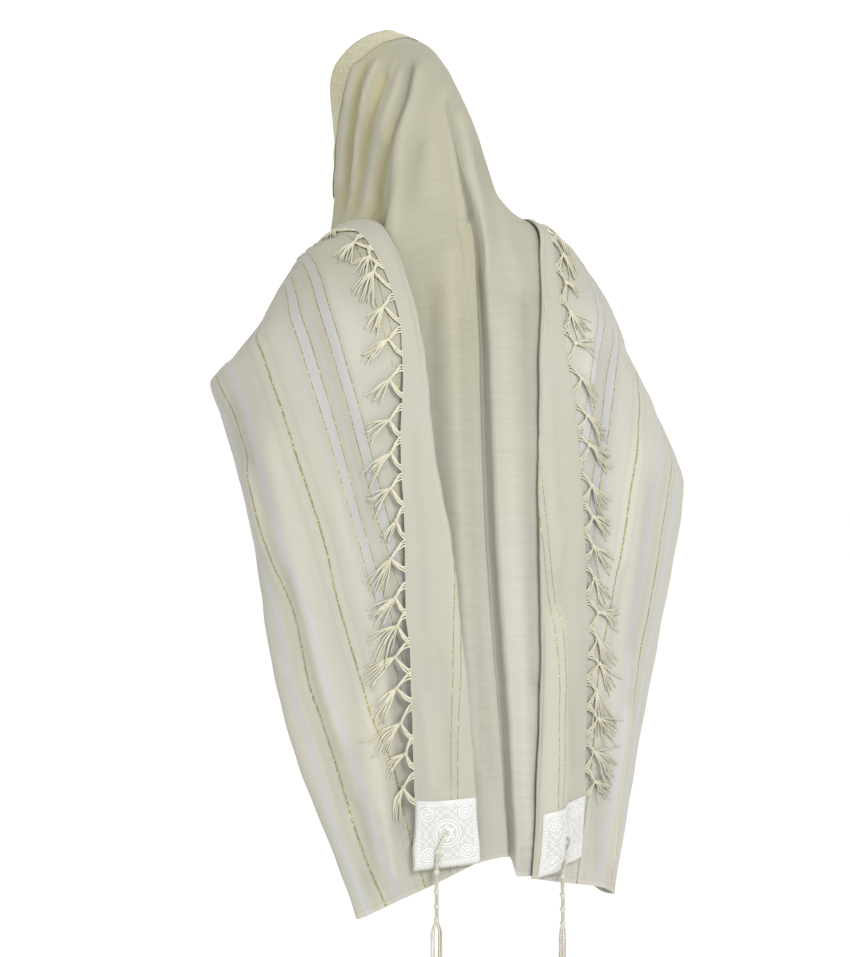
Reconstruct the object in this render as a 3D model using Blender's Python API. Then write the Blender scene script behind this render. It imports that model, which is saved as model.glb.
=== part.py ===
"""A tallit (prayer shawl) worn over the head, its sides thrown back over the shoulders.

The wearer faces -Y and their left is +X.  The tables below are in millimetres, in the
frame of the wearer's spine (X = Y = 0); the model is moved at the end so that its origin
is the crown, where the head holds the cloth up.  The cloth is one rectangle.  A row of a
table is the line across the cloth at one distance from the top edge, and each column is
where one line down the cloth meets that row.
"""
import bpy
import bmesh
import numpy as np
from mathutils import Vector
from mathutils.bvhtree import BVHTree

MM = 0.001
CLOTH_WIDTH = 1350.0         # from the top edge, round the face, to the hem
WALL = 2.0                   # thickness of the cloth
SEAM_GAP = 0.3               # between pieces that meet
CROWN = (0.0, -150.0, 12.0)  # inner face of the hood where the head holds it

ARM_FOLD_RADIUS = 7.0        # the turn over the arm
STRIP_FOLD_RADIUS = 5.0      # the strip that turns back at the fringed edge
LAYER_GAP = 7.0              # least distance between one layer's middle and the next

APPLIED_WALL = 1.0           # thickness of the atarah and the corner squares
APPLIED_GAP = 0.5            # between them and the cloth they lie on
APPLIED_INSET = 3.0          # from the cloth's edge to theirs
ATARAH_REACH = 280.0         # half the atarah's length
ATARAH_WIDTH = 75.0          # from the top edge to its lower seam
SQUARE_SIDE = 93.0           # from the hem or the top edge to a square's far side

FRINGE_ENDS = (99.0, 1251.0)  # the fringe stops short of the corner squares
FRINGE_RIDGE = 446.0         # where it crosses the shoulder and its two parts meet
FRINGE_PITCH = 44.0          # from one knot to the next
BACKING_WIDTH = 4.0
BACKING_WALL = 2.0
STRAND_WIDTH = 2.4
STRAND_TIP_WIDTH = 1.6
LEG_SPAN = 18.5              # from a knot to the root of each of its two legs
KNOT_REACH = 16.0            # from the cloth's edge out to the knots
TUFT_REACH = 38.0            # from the cloth's edge out to the tufts' tips
TUFT_DROOP = 13.0            # how far the tips hang down the cloth
FRINGE_CLEARANCE = 5.0       # least height of the strands over the cloth below
KNOT_DROOP = 2.0             # how far the knots hang down the cloth
PAIR_GAPS = (1.7, 3.5, 6.0)  # half the gap between a pair's strands: knot, halfway, tips
UNEVEN_KNOTS = 2.5           # the most that a knot's place along the edge varies
UNEVEN_TUFTS = 4.0           # the most that a tuft's reach and droop vary
UNEVEN_WAVES = ((2.4, 0.6), (5.1, 0.4))  # radians from one knot to the next, and share

TZITZIT_LENGTH = 360.0       # from the eyelet to the longest strand's end
TZITZIT_SIDES = 8
TZITZIT_STAND_OFF = 5.5      # from the square's cloth to the cord's middle
# The wound cord: distance from the eyelet and radius.
TZITZIT_CORD = ((0, 1.3), (3, 1.7), (24, 1.7), (48, 1.7), (72, 1.8), (77, 3.2), (83, 3.2), (86, 2.0),
                (95, 2.0), (98, 3.0), (103, 3.0), (106, 2.0), (112, 2.0), (115, 2.8), (120, 2.8))
# Rings below the last knot: the strands grow from the sides between the first two and
# between the last two.
TZITZIT_ROOT_RINGS = ((122, 2.4), (124, 2.4), (126, 2.4), (128, 2.4))
TZITZIT_STRAND_WIDTH = 1.5
TZITZIT_SPREAD = 9.0         # from the middle out to the strands' ends
TZITZIT_UNEVENNESS = 12.0    # the most that a strand's length varies
# How a strand turns down as it leaves the cord: away from its root, below it, and share of
# the quarter turn.
TZITZIT_BEND = ((0.9, 0.4, 0.5), (1.6, 1.8, 1.0))
TZITZIT_HANG = 0.35          # share of the spread and of the length at the ring between

# The inner layer: hood, shoulders and back.
# Each row: spine, temple, neck, shoulder, turn over the arm.
INNER_LEFT = {
    0: ((0, -170, 16), (80, -171, -40), (80, -158, -160), (94, -154, -300), (150, -176, -600)),
    70: ((0, -104, -2), (76, -110, -50), (92, -122, -165), (110, -122, -312), (180, -168, -572)),
    150: ((0, -38, -24), (66, -48, -78), (80, -50, -190), (136, -86, -322), (208, -158, -548)),
    240: ((0, 12, -80), (62, 2, -134), (80, -6, -232), (170, -46, -340), (232, -144, -526)),
    340: ((0, 42, -172), (62, 34, -204), (92, 20, -296), (208, -18, -366), (254, -126, -506)),
    450: ((0, 78, -276), (76, 66, -294), (146, 46, -334), (240, 2, -400), (276, -102, -492)),
    535: ((0, 108, -357), (87, 98, -365), (169, 74, -382), (252, 20, -429), (286, -87, -490)),
    620: ((0, 132, -440), (95, 126, -440), (180, 100, -445), (255, 38, -470), (294, -66, -486)),
    700: ((0, 142, -520), (97, 136, -520), (181, 110, -523), (252, 54, -540), (281, -34, -556)),
    780: ((0, 147, -600), (98, 140, -600), (180, 116, -602), (246, 68, -610), (271, 0, -625)),
    1050: ((0, 152, -855), (92, 142, -860), (165, 120, -868), (218, 88, -878), (246, 60, -890)),
    1350: ((0, 150, -1112), (60, 126, -1118), (102, 102, -1140), (132, 94, -1160), (154, 105, -1178)),
}
INNER_RIGHT = {
    0: ((0, -170, 16), (-72, -180, -42), (-88, -160, -160), (-94, -154, -296), (-152, -178, -612)),
    70: ((0, -104, -2), (-66, -124, -48), (-82, -105, -165), (-110, -122, -306), (-186, -172, -600)),
    150: ((0, -38, -24), (-57, -54, -78), (-80, -50, -186), (-136, -86, -314), (-222, -162, -590)),
    240: ((0, 12, -80), (-56, 0, -133), (-86, -3, -220), (-172, -44, -326), (-258, -144, -584)),
    340: ((0, 42, -172), (-56, 33, -200), (-102, 20, -254), (-214, -12, -340), (-296, -116, -583)),
    450: ((0, 78, -276), (-74, 70, -282), (-142, 50, -286), (-250, 4, -392), (-332, -82, -588)),
    535: ((0, 108, -357), (-88, 102, -360), (-172, 84, -368), (-266, 24, -432), (-350, -56, -596)),
    620: ((0, 132, -440), (-95, 126, -440), (-182, 100, -442), (-282, 40, -478), (-366, -28, -600)),
    780: ((0, 147, -600), (-98, 140, -600), (-185, 116, -602), (-285, 62, -610), (-370, 8, -622)),
    1050: ((0, 152, -855), (-95, 143, -860), (-180, 118, -865), (-258, 65, -875), (-311, 18, -885)),
    1350: ((0, 150, -1112), (-75, 136, -1124), (-135, 108, -1140), (-195, 68, -1155), (-243, 48, -1178)),
}

# The wing: from the turn over the arm back to the fringed edge.
# Each row: arm, blade, fold of the turned-back strip, fringed edge.
WING_LEFT = {
    0: ((122, -186, -600), (90, -189, -592), (54, -190, -580), (146, -206, -590)),
    70: ((158, -182, -535), (120, -188, -522), (76, -186, -510), (144, -202, -520)),
    150: ((196, -172, -480), (150, -182, -450), (96, -178, -433), (138, -192, -443)),
    240: ((208, -140, -440), (168, -146, -385), (113, -152, -354), (140, -162, -365)),
    340: ((216, -92, -416), (176, -76, -334), (124, -84, -286), (148, -92, -298)),
    450: ((246, -22, -408), (178, -8, -306), (100, 22, -264), (126, 3, -275)),
    535: ((258, 13, -414), (182, 60, -344), (89, 90, -313), (113, 75, -318)),
    620: ((268, 40, -440), (190, 115, -415), (82, 140, -392), (106, 132, -390)),
    780: ((258, 78, -615), (180, 134, -590), (74, 172, -550), (118, 171, -545)),
    1050: ((205, 105, -880), (128, 146, -860), (36, 177, -820), (116, 178, -815)),
    1350: ((125, 116, -1165), (72, 134, -1140), (9, 174, -1105), (95, 153, -1116)),
}
WING_RIGHT = {
    0: ((-122, -188, -608), (-90, -190, -598), (-56, -190, -582), (-148, -206, -592)),
    70: ((-162, -184, -556), (-122, -188, -530), (-78, -186, -506), (-146, -202, -516)),
    150: ((-200, -174, -505), (-152, -182, -456), (-98, -178, -428), (-140, -192, -438)),
    240: ((-236, -150, -468), (-182, -152, -390), (-116, -150, -346), (-144, -160, -357)),
    340: ((-270, -104, -440), (-205, -88, -332), (-126, -80, -274), (-151, -92, -286)),
    450: ((-292, -20, -424), (-205, -2, -296), (-115, 28, -266), (-138, 16, -268)),
    535: ((-288, 16, -452), (-203, 58, -352), (-114, 92, -315), (-138, 84, -318)),
    620: ((-296, 45, -488), (-200, 112, -425), (-94, 145, -430), (-131, 136, -425)),
    780: ((-300, 75, -600), (-195, 128, -590), (-83, 160, -585), (-146, 148, -575)),
    1050: ((-265, 85, -872), (-185, 130, -860), (-85, 167, -850), (-160, 147, -830)),
    1350: ((-210, 88, -1162), (-145, 118, -1148), (-76, 160, -1134), (-168, 136, -1115)),
}


def remove_everything():
    for thing in list(bpy.data.objects):
        bpy.data.objects.remove(thing)


# ---------------------------------------------------------------- curves and surfaces

def hermite(knots, points, where):
    """The smooth curve through points (one at each knot), read at each place in where."""
    knots = np.asarray(knots, float)
    points = np.asarray(points, float)
    steps = np.diff(knots).reshape((-1,) + (1,) * (points.ndim - 1))
    slopes = np.diff(points, axis=0) / steps
    tangents = np.empty_like(points)
    tangents[0], tangents[-1] = slopes[0], slopes[-1]
    tangents[1:-1] = (slopes[:-1] * steps[1:] + slopes[1:] * steps[:-1]) / (steps[1:] + steps[:-1])
    curve = []
    for place in where:
        i = int(np.clip(np.searchsorted(knots, place, side="right") - 1, 0, len(knots) - 2))
        h = knots[i + 1] - knots[i]
        t = (place - knots[i]) / h
        curve.append((1 + 2 * t) * (1 - t) ** 2 * points[i] + t * (1 - t) ** 2 * h * tangents[i]
                     + t * t * (3 - 2 * t) * points[i + 1] + t * t * (t - 1) * h * tangents[i + 1])
    return np.array(curve)


def table_rows(table, rows):
    """The table's lines down the cloth, read at each distance in rows."""
    return hermite(list(table), [table[v] for v in table], rows)


def unit(vectors):
    """The same directions, one unit long."""
    return vectors / np.linalg.norm(vectors, axis=-1, keepdims=True)


def fold_points(before, fold, after, down, turns):
    """Three points round a fold: where the cloth enters it, its crest and where it leaves.

    The arguments are whole columns, down is the fold's direction, and turns is the fold's
    radius, negative where the cloth turns the other way.
    """
    crest = fold - (before + after) / 2
    crest = crest - down * np.sum(crest * down, axis=1, keepdims=True)
    crest = unit(crest)
    away = np.cross(crest, down) * turns
    into = fold - crest * abs(turns)
    return into - away, fold, into + away


def down_column(column):
    """The direction of a line down the cloth at each of its points."""
    return unit(np.gradient(column, axis=0))


def row_curve(points, counts):
    """A smooth line through points, with counts[i] steps between point i and the next."""
    points = np.asarray(points, float)
    chords = np.sqrt(np.linalg.norm(np.diff(points, axis=0), axis=1))
    knots = np.concatenate(([0.0], np.cumsum(chords)))
    where = [knots[0]]
    for i, count in enumerate(counts):
        where += list(knots[i] + (knots[i + 1] - knots[i]) * np.arange(1, count + 1) / count)
    return hermite(knots, points, where)


# ---------------------------------------------------------------- the draped cloth

# Lines down each half of the cloth, and the steps from each of them to the next.
HALF_LINES = ("spine", "temple", "neck", "shoulder", "turn in", "turn", "turn out", "arm", "blade",
              "strip in", "strip fold", "strip out", "fringed edge")
HALF_STEPS = (4, 3, 4, 4, 2, 2, 3, 4, 4, 2, 2, 3)
LINE = dict(zip(HALF_LINES, np.cumsum((0, *HALF_STEPS)).tolist()))
# Rows of points: from one distance to the next, in steps of about so much.
ROW_STEPS = ((0, 300, 27), (300, 620, 40), (620, CLOTH_WIDTH, 75))
LEAST_ROW_STEP = 10.0
HELD_COLUMNS = 3             # a layer's first columns, which round its fold and aren't moved

# Folds in the inner layer: the path runs through (from the top edge, left of the spine),
# and the height is outward.  A pleat steps up on the wearer's right of its path.
FOLDS = {
    # name: (path, half width, height, is a pleat)
    "hood side groove": (((165, 20), (168, 90), (188, 190), (215, 280)), 20, -11, False),
    "hood front groove": (((95, 30), (98, 120), (105, 230)), 14, -5, False),
    "hood back ridge": (((235, 50), (250, 150), (290, 230)), 20, 6, False),
    "hood right groove": (((150, -30), (230, -60), (330, -70)), 16, -8, False),
    "deep pleat": (((330, -14), (620, -16), (1000, -32), (1350, -50)), 9, 18, True),
    "left blade fold": (((430, 60), (700, 75), (1100, 60), (1350, 45)), 26, -7, False),
    "right blade fold": (((420, -110), (800, -120), (1350, -110)), 24, 6, False),
}
PLEAT_REACH = 70.0           # how far a pleat's raised side reaches
FOLD_SAMPLES = 60            # points along a fold's path
FOLD_FADE = 3.0              # half widths over which a fold dies away past its ends
FOLD_START = 0.3             # share of that fade already reached at the ends themselves
FACING = 0.7                 # a point is over a surface when its height is this much of its distance


def cloth_rows():
    """Distances from the top edge at which the cloth's rows are made."""
    kept = [0.0, ATARAH_WIDTH, SQUARE_SIDE, CLOTH_WIDTH - SQUARE_SIDE, CLOTH_WIDTH - SQUARE_SIDE / 2]
    rows = [CLOTH_WIDTH]
    for start, end, step in ROW_STEPS:
        rows += np.linspace(start, end, round((end - start) / step), endpoint=False).tolist()
    return sorted([v for v in rows if min(abs(v - k) for k in kept) > LEAST_ROW_STEP] + kept)


def half_controls(inner, wing, side):
    """Columns of points that the half rows pass through, from the spine to the fringed edge."""
    spine, temple, neck, shoulder, turn = np.moveaxis(inner, 1, 0)
    arm, blade, strip, edge = np.moveaxis(wing, 1, 0)
    turn_points = fold_points(shoulder, turn, arm, down_column(turn), side * ARM_FOLD_RADIUS)
    strip_points = fold_points(blade, strip, edge, down_column(strip), -side * STRIP_FOLD_RADIUS)
    return [spine, temple, neck, shoulder, *turn_points, arm, blade, *strip_points, edge]


def whole_cloth(rows):
    """Grid of points: rows down the cloth, columns from its right edge to its left."""
    left = half_controls(table_rows(INNER_LEFT, rows), table_rows(WING_LEFT, rows), 1)
    right = half_controls(table_rows(INNER_RIGHT, rows), table_rows(WING_RIGHT, rows), -1)
    controls = np.stack(right[:0:-1] + left, axis=1)
    return np.array([row_curve(points, HALF_STEPS[::-1] + HALF_STEPS) for points in controls])


def faces_of(rows, columns):
    """Quads between the points of a grid, facing outward."""
    return [(i * columns + j, i * columns + j + 1, (i + 1) * columns + j + 1, (i + 1) * columns + j)
            for i in range(rows - 1) for j in range(columns - 1)]


def spread(field):
    """A grid of vectors, each averaged with its neighbours."""
    for axis in (0, 1):
        padded = np.concatenate((field.take([0], axis), field, field.take([-1], axis)), axis)
        size = field.shape[axis]
        field = (padded.take(range(size), axis) + 2 * field + padded.take(range(2, size + 2), axis)) / 4
    return field


def tree_of(grid):
    return BVHTree.FromPolygons([Vector(p) for p in grid.reshape(-1, 3)], faces_of(*grid.shape[:2]))


def shortfalls(points, normals, tree, gap, outward, reach=60.0):
    """Where points lie closer than gap to a surface: (index, face, how far to move, direction).

    Normals are the points' own, or None to use the surface's.  Outward is 1 where the points
    should lie outside the surface, and -1 where the surface should lie outside the points.
    """
    found = []
    for index, point in enumerate(points):
        nearest, normal, face, distance = tree.find_nearest(Vector(point), reach)
        if nearest is None:
            continue
        direction = np.array(normal) if normals is None else normals[index]
        height = outward * float(np.dot(point - np.array(nearest), direction))
        if height < gap and abs(height) > FACING * distance:
            found.append((index, face, gap - height, direction))
    return found


def laid_over(layer, under, passes=8):
    """The layer, moved out where it would come closer than the gap to the one under it."""
    under_tree = tree_of(under)
    under_points = under.reshape(-1, 3)
    under_normals = outward_normals(under).reshape(-1, 3)
    faces = faces_of(*layer.shape[:2])
    layer = layer.copy()
    for _ in range(passes):
        push = np.zeros((layer.size // 3, 3))
        too_low = shortfalls(layer.reshape(-1, 3), None, under_tree, LAYER_GAP, 1)
        pierced = shortfalls(under_points, under_normals, tree_of(layer), LAYER_GAP, -1)
        needs = [(k, away * move) for k, _, move, away in too_low]
        needs += [(k, away * move) for _, face, move, away in pierced for k in faces[face]]
        for k, move in needs:
            if np.linalg.norm(move) > np.linalg.norm(push[k]):
                push[k] = move
        push = push.reshape(layer.shape)
        push[:, :HELD_COLUMNS] = 0
        layer += np.where(np.abs(push) > 0, push, spread(spread(push)))
    return layer


def outward_normals(grid):
    down = np.gradient(grid, axis=0)
    across = np.gradient(grid, axis=1)
    return unit(np.cross(across, down))


def smooth_step(t):
    t = np.clip(t, 0, 1)
    return t * t * (3 - 2 * t)


def fold_height(path, half_width, height, is_pleat, down, left):
    """How far one fold moves the cloth out, at each (down, left) of the grid."""
    path = np.array(path, float)
    lengths = np.concatenate(([0.0], np.cumsum(np.linalg.norm(np.diff(path, axis=0), axis=1))))
    along = np.linspace(0, lengths[-1], FOLD_SAMPLES)
    line = hermite(lengths, path, along)
    offsets = np.stack((down, left), axis=-1)[..., None, :] - line
    distances = np.linalg.norm(offsets, axis=-1)
    nearest = distances.argmin(axis=-1)
    distance = distances.min(axis=-1)
    fade = FOLD_FADE * half_width
    place = along[nearest]
    start = smooth_step(place / fade + FOLD_START)
    if not is_pleat:
        finish = smooth_step((lengths[-1] - place) / fade + FOLD_START)
        return height * start * finish * np.exp(-(distance / half_width) ** 2)
    right_of_path = line[nearest][..., 1] - left
    raised = smooth_step(right_of_path / half_width + 0.5)
    reach = smooth_step(1 - (right_of_path - half_width) / PLEAT_REACH)
    near = smooth_step(1 - (distance - np.abs(right_of_path)) / fade)
    return height * start * raised * reach * near


def distances_across(grid):
    """How far each point lies along its row, left of the spine."""
    steps = np.linalg.norm(np.diff(grid, axis=1), axis=2)
    total = np.concatenate((np.zeros((len(grid), 1)), np.cumsum(steps, axis=1)), axis=1)
    spine = grid.shape[1] // 2
    return total - total[:, spine:spine + 1]


def half_of(grid, side):
    """The columns of one half (1 the left, -1 the right), from the spine to the fringed edge."""
    spine = grid.shape[1] // 2
    return grid[:, spine:] if side == 1 else grid[:, spine::-1]


def wing_outside(grid, side):
    """The wing up to its turned-back strip, ordered so that its normals point outward."""
    return half_of(grid, side)[:, LINE["turn out"]:LINE["strip in"] + 1][:, ::-side]


def folded_cloth(rows):
    """The whole cloth with its folds pressed in, and its outward normals."""
    grid = whole_cloth(rows)
    normals = outward_normals(grid)
    left = distances_across(grid)
    down = np.broadcast_to(np.array(rows)[:, None], left.shape)
    spine = grid.shape[1] // 2
    columns = np.abs(np.arange(grid.shape[1]) - spine)
    inner_only = smooth_step((LINE["turn"] - columns) / 4)
    height = sum(fold_height(*fold, down, left) for fold in FOLDS.values())
    grid = grid + normals * (height * inner_only)[..., None]
    inner = grid[:, spine - LINE["turn"]:spine + LINE["turn"] + 1]
    for side in (1, -1):
        half = half_of(grid, side)
        strip_in = LINE["strip in"]
        before = half[:, strip_in].copy()
        half[:, LINE["turn"]:strip_in + 1] = laid_over(half[:, LINE["turn"]:strip_in + 1], inner)
        half[:, strip_in + 1:] += (half[:, strip_in] - before)[:, None]
        half[:, LINE["strip fold"]:] = laid_over(half[:, LINE["strip fold"]:], wing_outside(grid, side))
    return grid, outward_normals(grid)


# ---------------------------------------------------------------- meshes and materials

MATERIALS = {
    # name: (colour, roughness)
    "wool_cloth": ((0.62, 0.60, 0.52), 0.85),
    "brocade": ((0.70, 0.69, 0.60), 0.6),
    "satin_square": ((0.75, 0.75, 0.74), 0.4),
    "fringe_yarn": ((0.74, 0.71, 0.58), 0.9),
    "tzitzit_yarn": ((0.78, 0.75, 0.66), 0.9),
}


def material(name):
    if name in bpy.data.materials:
        return bpy.data.materials[name]
    colour, roughness = MATERIALS[name]
    made = bpy.data.materials.new(name)
    made.use_nodes = True
    shader = made.node_tree.nodes["Principled BSDF"]
    shader.inputs["Base Color"].default_value = (*colour, 1.0)
    shader.inputs["Roughness"].default_value = roughness
    shader.inputs["Metallic"].default_value = 0.0
    return made


def add_object(name, points, faces, material_name):
    """One closed body, moved so that the crown is at the origin, in metres."""
    mesh = bpy.data.meshes.new(name)
    points = (np.asarray(points, float) - CROWN) * MM
    mesh.from_pydata([tuple(p) for p in points], [], faces)
    edit = bmesh.new()
    edit.from_mesh(mesh)
    bmesh.ops.recalc_face_normals(edit, faces=edit.faces)
    bmesh.ops.triangulate(edit, faces=edit.faces)
    edit.to_mesh(mesh)
    edit.free()
    mesh.materials.append(material(material_name))
    mesh.shade_smooth()
    thing = bpy.data.objects.new(name, mesh)
    bpy.context.scene.collection.objects.link(thing)
    return thing


def square_ring(middle, across, up, width):
    """Four points round a strand's middle."""
    half = width / 2
    return [middle + across * (a * half) + up * (b * half) for a, b in ((-1, 1), (1, 1), (1, -1), (-1, -1))]


class Solid:
    """Points and faces of one closed body, built from rings of points."""

    def __init__(self):
        self.points = []
        self.faces = []

    def ring(self, points):
        first = len(self.points)
        self.points += [tuple(p) for p in points]
        return list(range(first, len(self.points)))

    def band(self, ring, next_ring, open_sides=()):
        """The sides between two rings, apart from those left open for a strand."""
        size = len(ring)
        for k in range(size):
            if k not in open_sides:
                self.faces.append((ring[k], ring[(k + 1) % size], next_ring[(k + 1) % size], next_ring[k]))

    def cap(self, ring):
        self.faces.append(tuple(ring))

    def grow(self, root, rings):
        """A strand from the open side root, through rings of four points, to its end."""
        for points in rings:
            ring = self.ring(points)
            self.band(root, ring)
            root = ring
        self.cap(root)


def shell(name, grid, normals, wall, material_name):
    """A wall of even thickness about a grid of points."""
    rows, columns = grid.shape[:2]
    outer = (grid + normals * wall / 2).reshape(-1, 3)
    inner = (grid - normals * wall / 2).reshape(-1, 3)
    under = rows * columns
    faces = []
    for a, b, c, d in faces_of(rows, columns):
        faces += [(a, b, c), (a, c, d), (a + under, c + under, b + under), (a + under, d + under, c + under)]
    rim = (list(range(columns))
           + [i * columns + columns - 1 for i in range(1, rows)]
           + [(rows - 1) * columns + j for j in range(columns - 2, -1, -1)]
           + [i * columns for i in range(rows - 2, 0, -1)])
    faces += [(a, a + under, b + under, b) for a, b in zip(rim, rim[1:] + rim[:1])]
    return add_object(name, np.concatenate((outer, inner)), faces, material_name)


def pulled_in(grid, axis, end, distance):
    """The grid with one edge moved in along the cloth: axis 0 is a row, end 0 the first."""
    moved = grid.copy()
    lines = np.moveaxis(moved, axis, 0)
    lines[end] += unit(lines[1 if end == 0 else -2] - lines[end]) * distance
    return moved


def cloth_panels(grid, normals):
    """The three stretches of the cloth, parted at the turns over the arms."""
    spine = grid.shape[1] // 2
    right_turn, left_turn = spine - LINE["turn"], spine + LINE["turn"]
    stretches = {
        "cloth_wing_right": (0, right_turn, (-1,)),
        "cloth_back": (right_turn, left_turn, (0, -1)),
        "cloth_wing_left": (left_turn, grid.shape[1] - 1, (0,)),
    }
    for name, (first, last, seams) in stretches.items():
        panel = grid[:, first:last + 1]
        for end in seams:
            panel = pulled_in(panel, 1, end, SEAM_GAP / 2)
        shell(name, panel, normals[:, first:last + 1], WALL, "wool_cloth")


def applied(name, grid, normals, material_name):
    """A thin piece laid on a stretch of the cloth and set in from its edges."""
    for axis in (0, 1):
        for end in (0, -1):
            grid = pulled_in(grid, axis, end, APPLIED_INSET)
    height = WALL / 2 + APPLIED_GAP + APPLIED_WALL / 2
    shell(name, grid + normals * height, normals, APPLIED_WALL, material_name)


def atarah(grid, normals, rows):
    top = slice(0, rows.index(ATARAH_WIDTH) + 1)
    spine = grid.shape[1] // 2
    reach = int(np.argmin(np.abs(distances_across(grid)[0, spine:] - ATARAH_REACH)))
    across = slice(spine - reach, spine + reach + 1)
    applied("atarah", grid[top, across], normals[top, across], "brocade")


def square_rows(rows, end):
    """The rows under a corner square at the hem ("back") or at the top edge ("front")."""
    if end == "front":
        return slice(0, rows.index(SQUARE_SIDE) + 1)
    return slice(rows.index(CLOTH_WIDTH - SQUARE_SIDE), len(rows))


def corner_square(name, grid, normals, rows, side, end):
    place = (square_rows(rows, end), slice(LINE["strip out"], LINE["fringed edge"] + 1))
    applied(name, half_of(grid, side)[place], half_of(normals, side)[place], "satin_square")


# ---------------------------------------------------------------- fringe and tassels

def edge_frame(grid, normals, rows, side, v):
    """The fringed edge at v: its point, and the ways out, down and up from the cloth."""
    edge = half_of(grid, side)[:, LINE["fringed edge"]]
    before = half_of(grid, side)[:, LINE["fringed edge"] - 1]
    up = half_of(normals, side)[:, LINE["fringed edge"]]
    i = int(np.clip(np.searchsorted(rows, v, side="right") - 1, 0, len(rows) - 2))
    t = (v - rows[i]) / (rows[i + 1] - rows[i])
    point, out, up = ((1 - t) * line[i] + t * line[i + 1] for line in (edge, unit(edge - before), up))
    return point, unit(out), unit(edge[i + 1] - edge[i]), unit(up)


def lifted(point, tree):
    """The point, moved up to stand clear of the cloth under it."""
    for _, _, move, away in shortfalls([point], None, tree, FRINGE_CLEARANCE, 1):
        point = point + away * move
    return point


def uneven(k):
    """A small variation from one knot to the next, between -1 and 1."""
    return sum(share * np.sin(step * k) for step, share in UNEVEN_WAVES)


def strand_rings(frame, root_side, k, tree):
    """The rings of one leg and its tuft, from the knot to the tip."""
    edge, out, down, up = frame
    droop = TUFT_DROOP + UNEVEN_TUFTS * uneven(k + 1)
    reach = TUFT_REACH + UNEVEN_TUFTS * uneven(k)
    places = (
        # out from the edge, down the cloth, width
        (KNOT_REACH, 0.0, (STRAND_WIDTH + STRAND_TIP_WIDTH) / 2),
        ((KNOT_REACH + reach) / 2, droop * 0.4, STRAND_TIP_WIDTH),
        (reach + STRAND_WIDTH * root_side, droop, STRAND_TIP_WIDTH),
    )
    for gap, (reach_out, hang, width) in zip(PAIR_GAPS, places):
        middle = lifted(edge + out * reach_out + down * (KNOT_DROOP + hang + gap * root_side), tree)
        yield square_ring(middle, down, up, width)


def fringe(name, grid, normals, rows, side, start, end):
    """A narrow backing along the fringed edge, with pairs of legs knotted into tufts."""
    tree = tree_of(wing_outside(grid, side))
    count = int((end - start) // FRINGE_PITCH)
    first_knot = (start + end - (count - 1) * FRINGE_PITCH) / 2
    roots = {}
    for k in range(count):
        knot = first_knot + k * FRINGE_PITCH + UNEVEN_KNOTS * uneven(k)
        for root_side in (-1, 1):
            roots[knot + root_side * (LEG_SPAN + uneven(2 * k + root_side))] = (knot, root_side, k)
    half = STRAND_WIDTH / 2
    sections = {start: None, end: None}
    for v, strand in roots.items():
        sections[v - half] = strand
        sections[v + half] = None
    sections.update({v: None for v in rows if start + half < v < end - half
                     and min(abs(v - root) for root in roots) > STRAND_WIDTH})
    solid = Solid()
    ring = strand = None
    for v in sorted(sections):
        edge, out, down, up = edge_frame(grid, normals, rows, side, v)
        near, far = edge + out * SEAM_GAP, edge + out * (SEAM_GAP + BACKING_WIDTH)
        thick = up * BACKING_WALL / 2
        next_ring = solid.ring((near + thick, far + thick, far - thick, near - thick))
        if ring is None:
            solid.cap(next_ring)
        else:
            solid.band(ring, next_ring, () if strand is None else (1,))
            if strand is not None:
                knot, root_side, k = strand
                root = (ring[1], next_ring[1], next_ring[2], ring[2])
                frame = edge_frame(grid, normals, rows, side, knot)
                solid.grow(root, strand_rings(frame, root_side, k, tree))
        ring, strand = next_ring, sections[v]
    solid.cap(ring)
    add_object(name, solid.points, solid.faces, "fringe_yarn")


def along_path(path, distance):
    """The point so far along a line of points, and the line's direction there."""
    path = np.asarray(path)
    steps = np.linalg.norm(np.diff(path, axis=0), axis=1)
    lengths = np.concatenate(([0.0], np.cumsum(steps)))
    point = hermite(lengths, path, [distance])[0]
    ahead = hermite(lengths, path, [distance + 1.0])[0]
    return point, unit(ahead - point)


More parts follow.
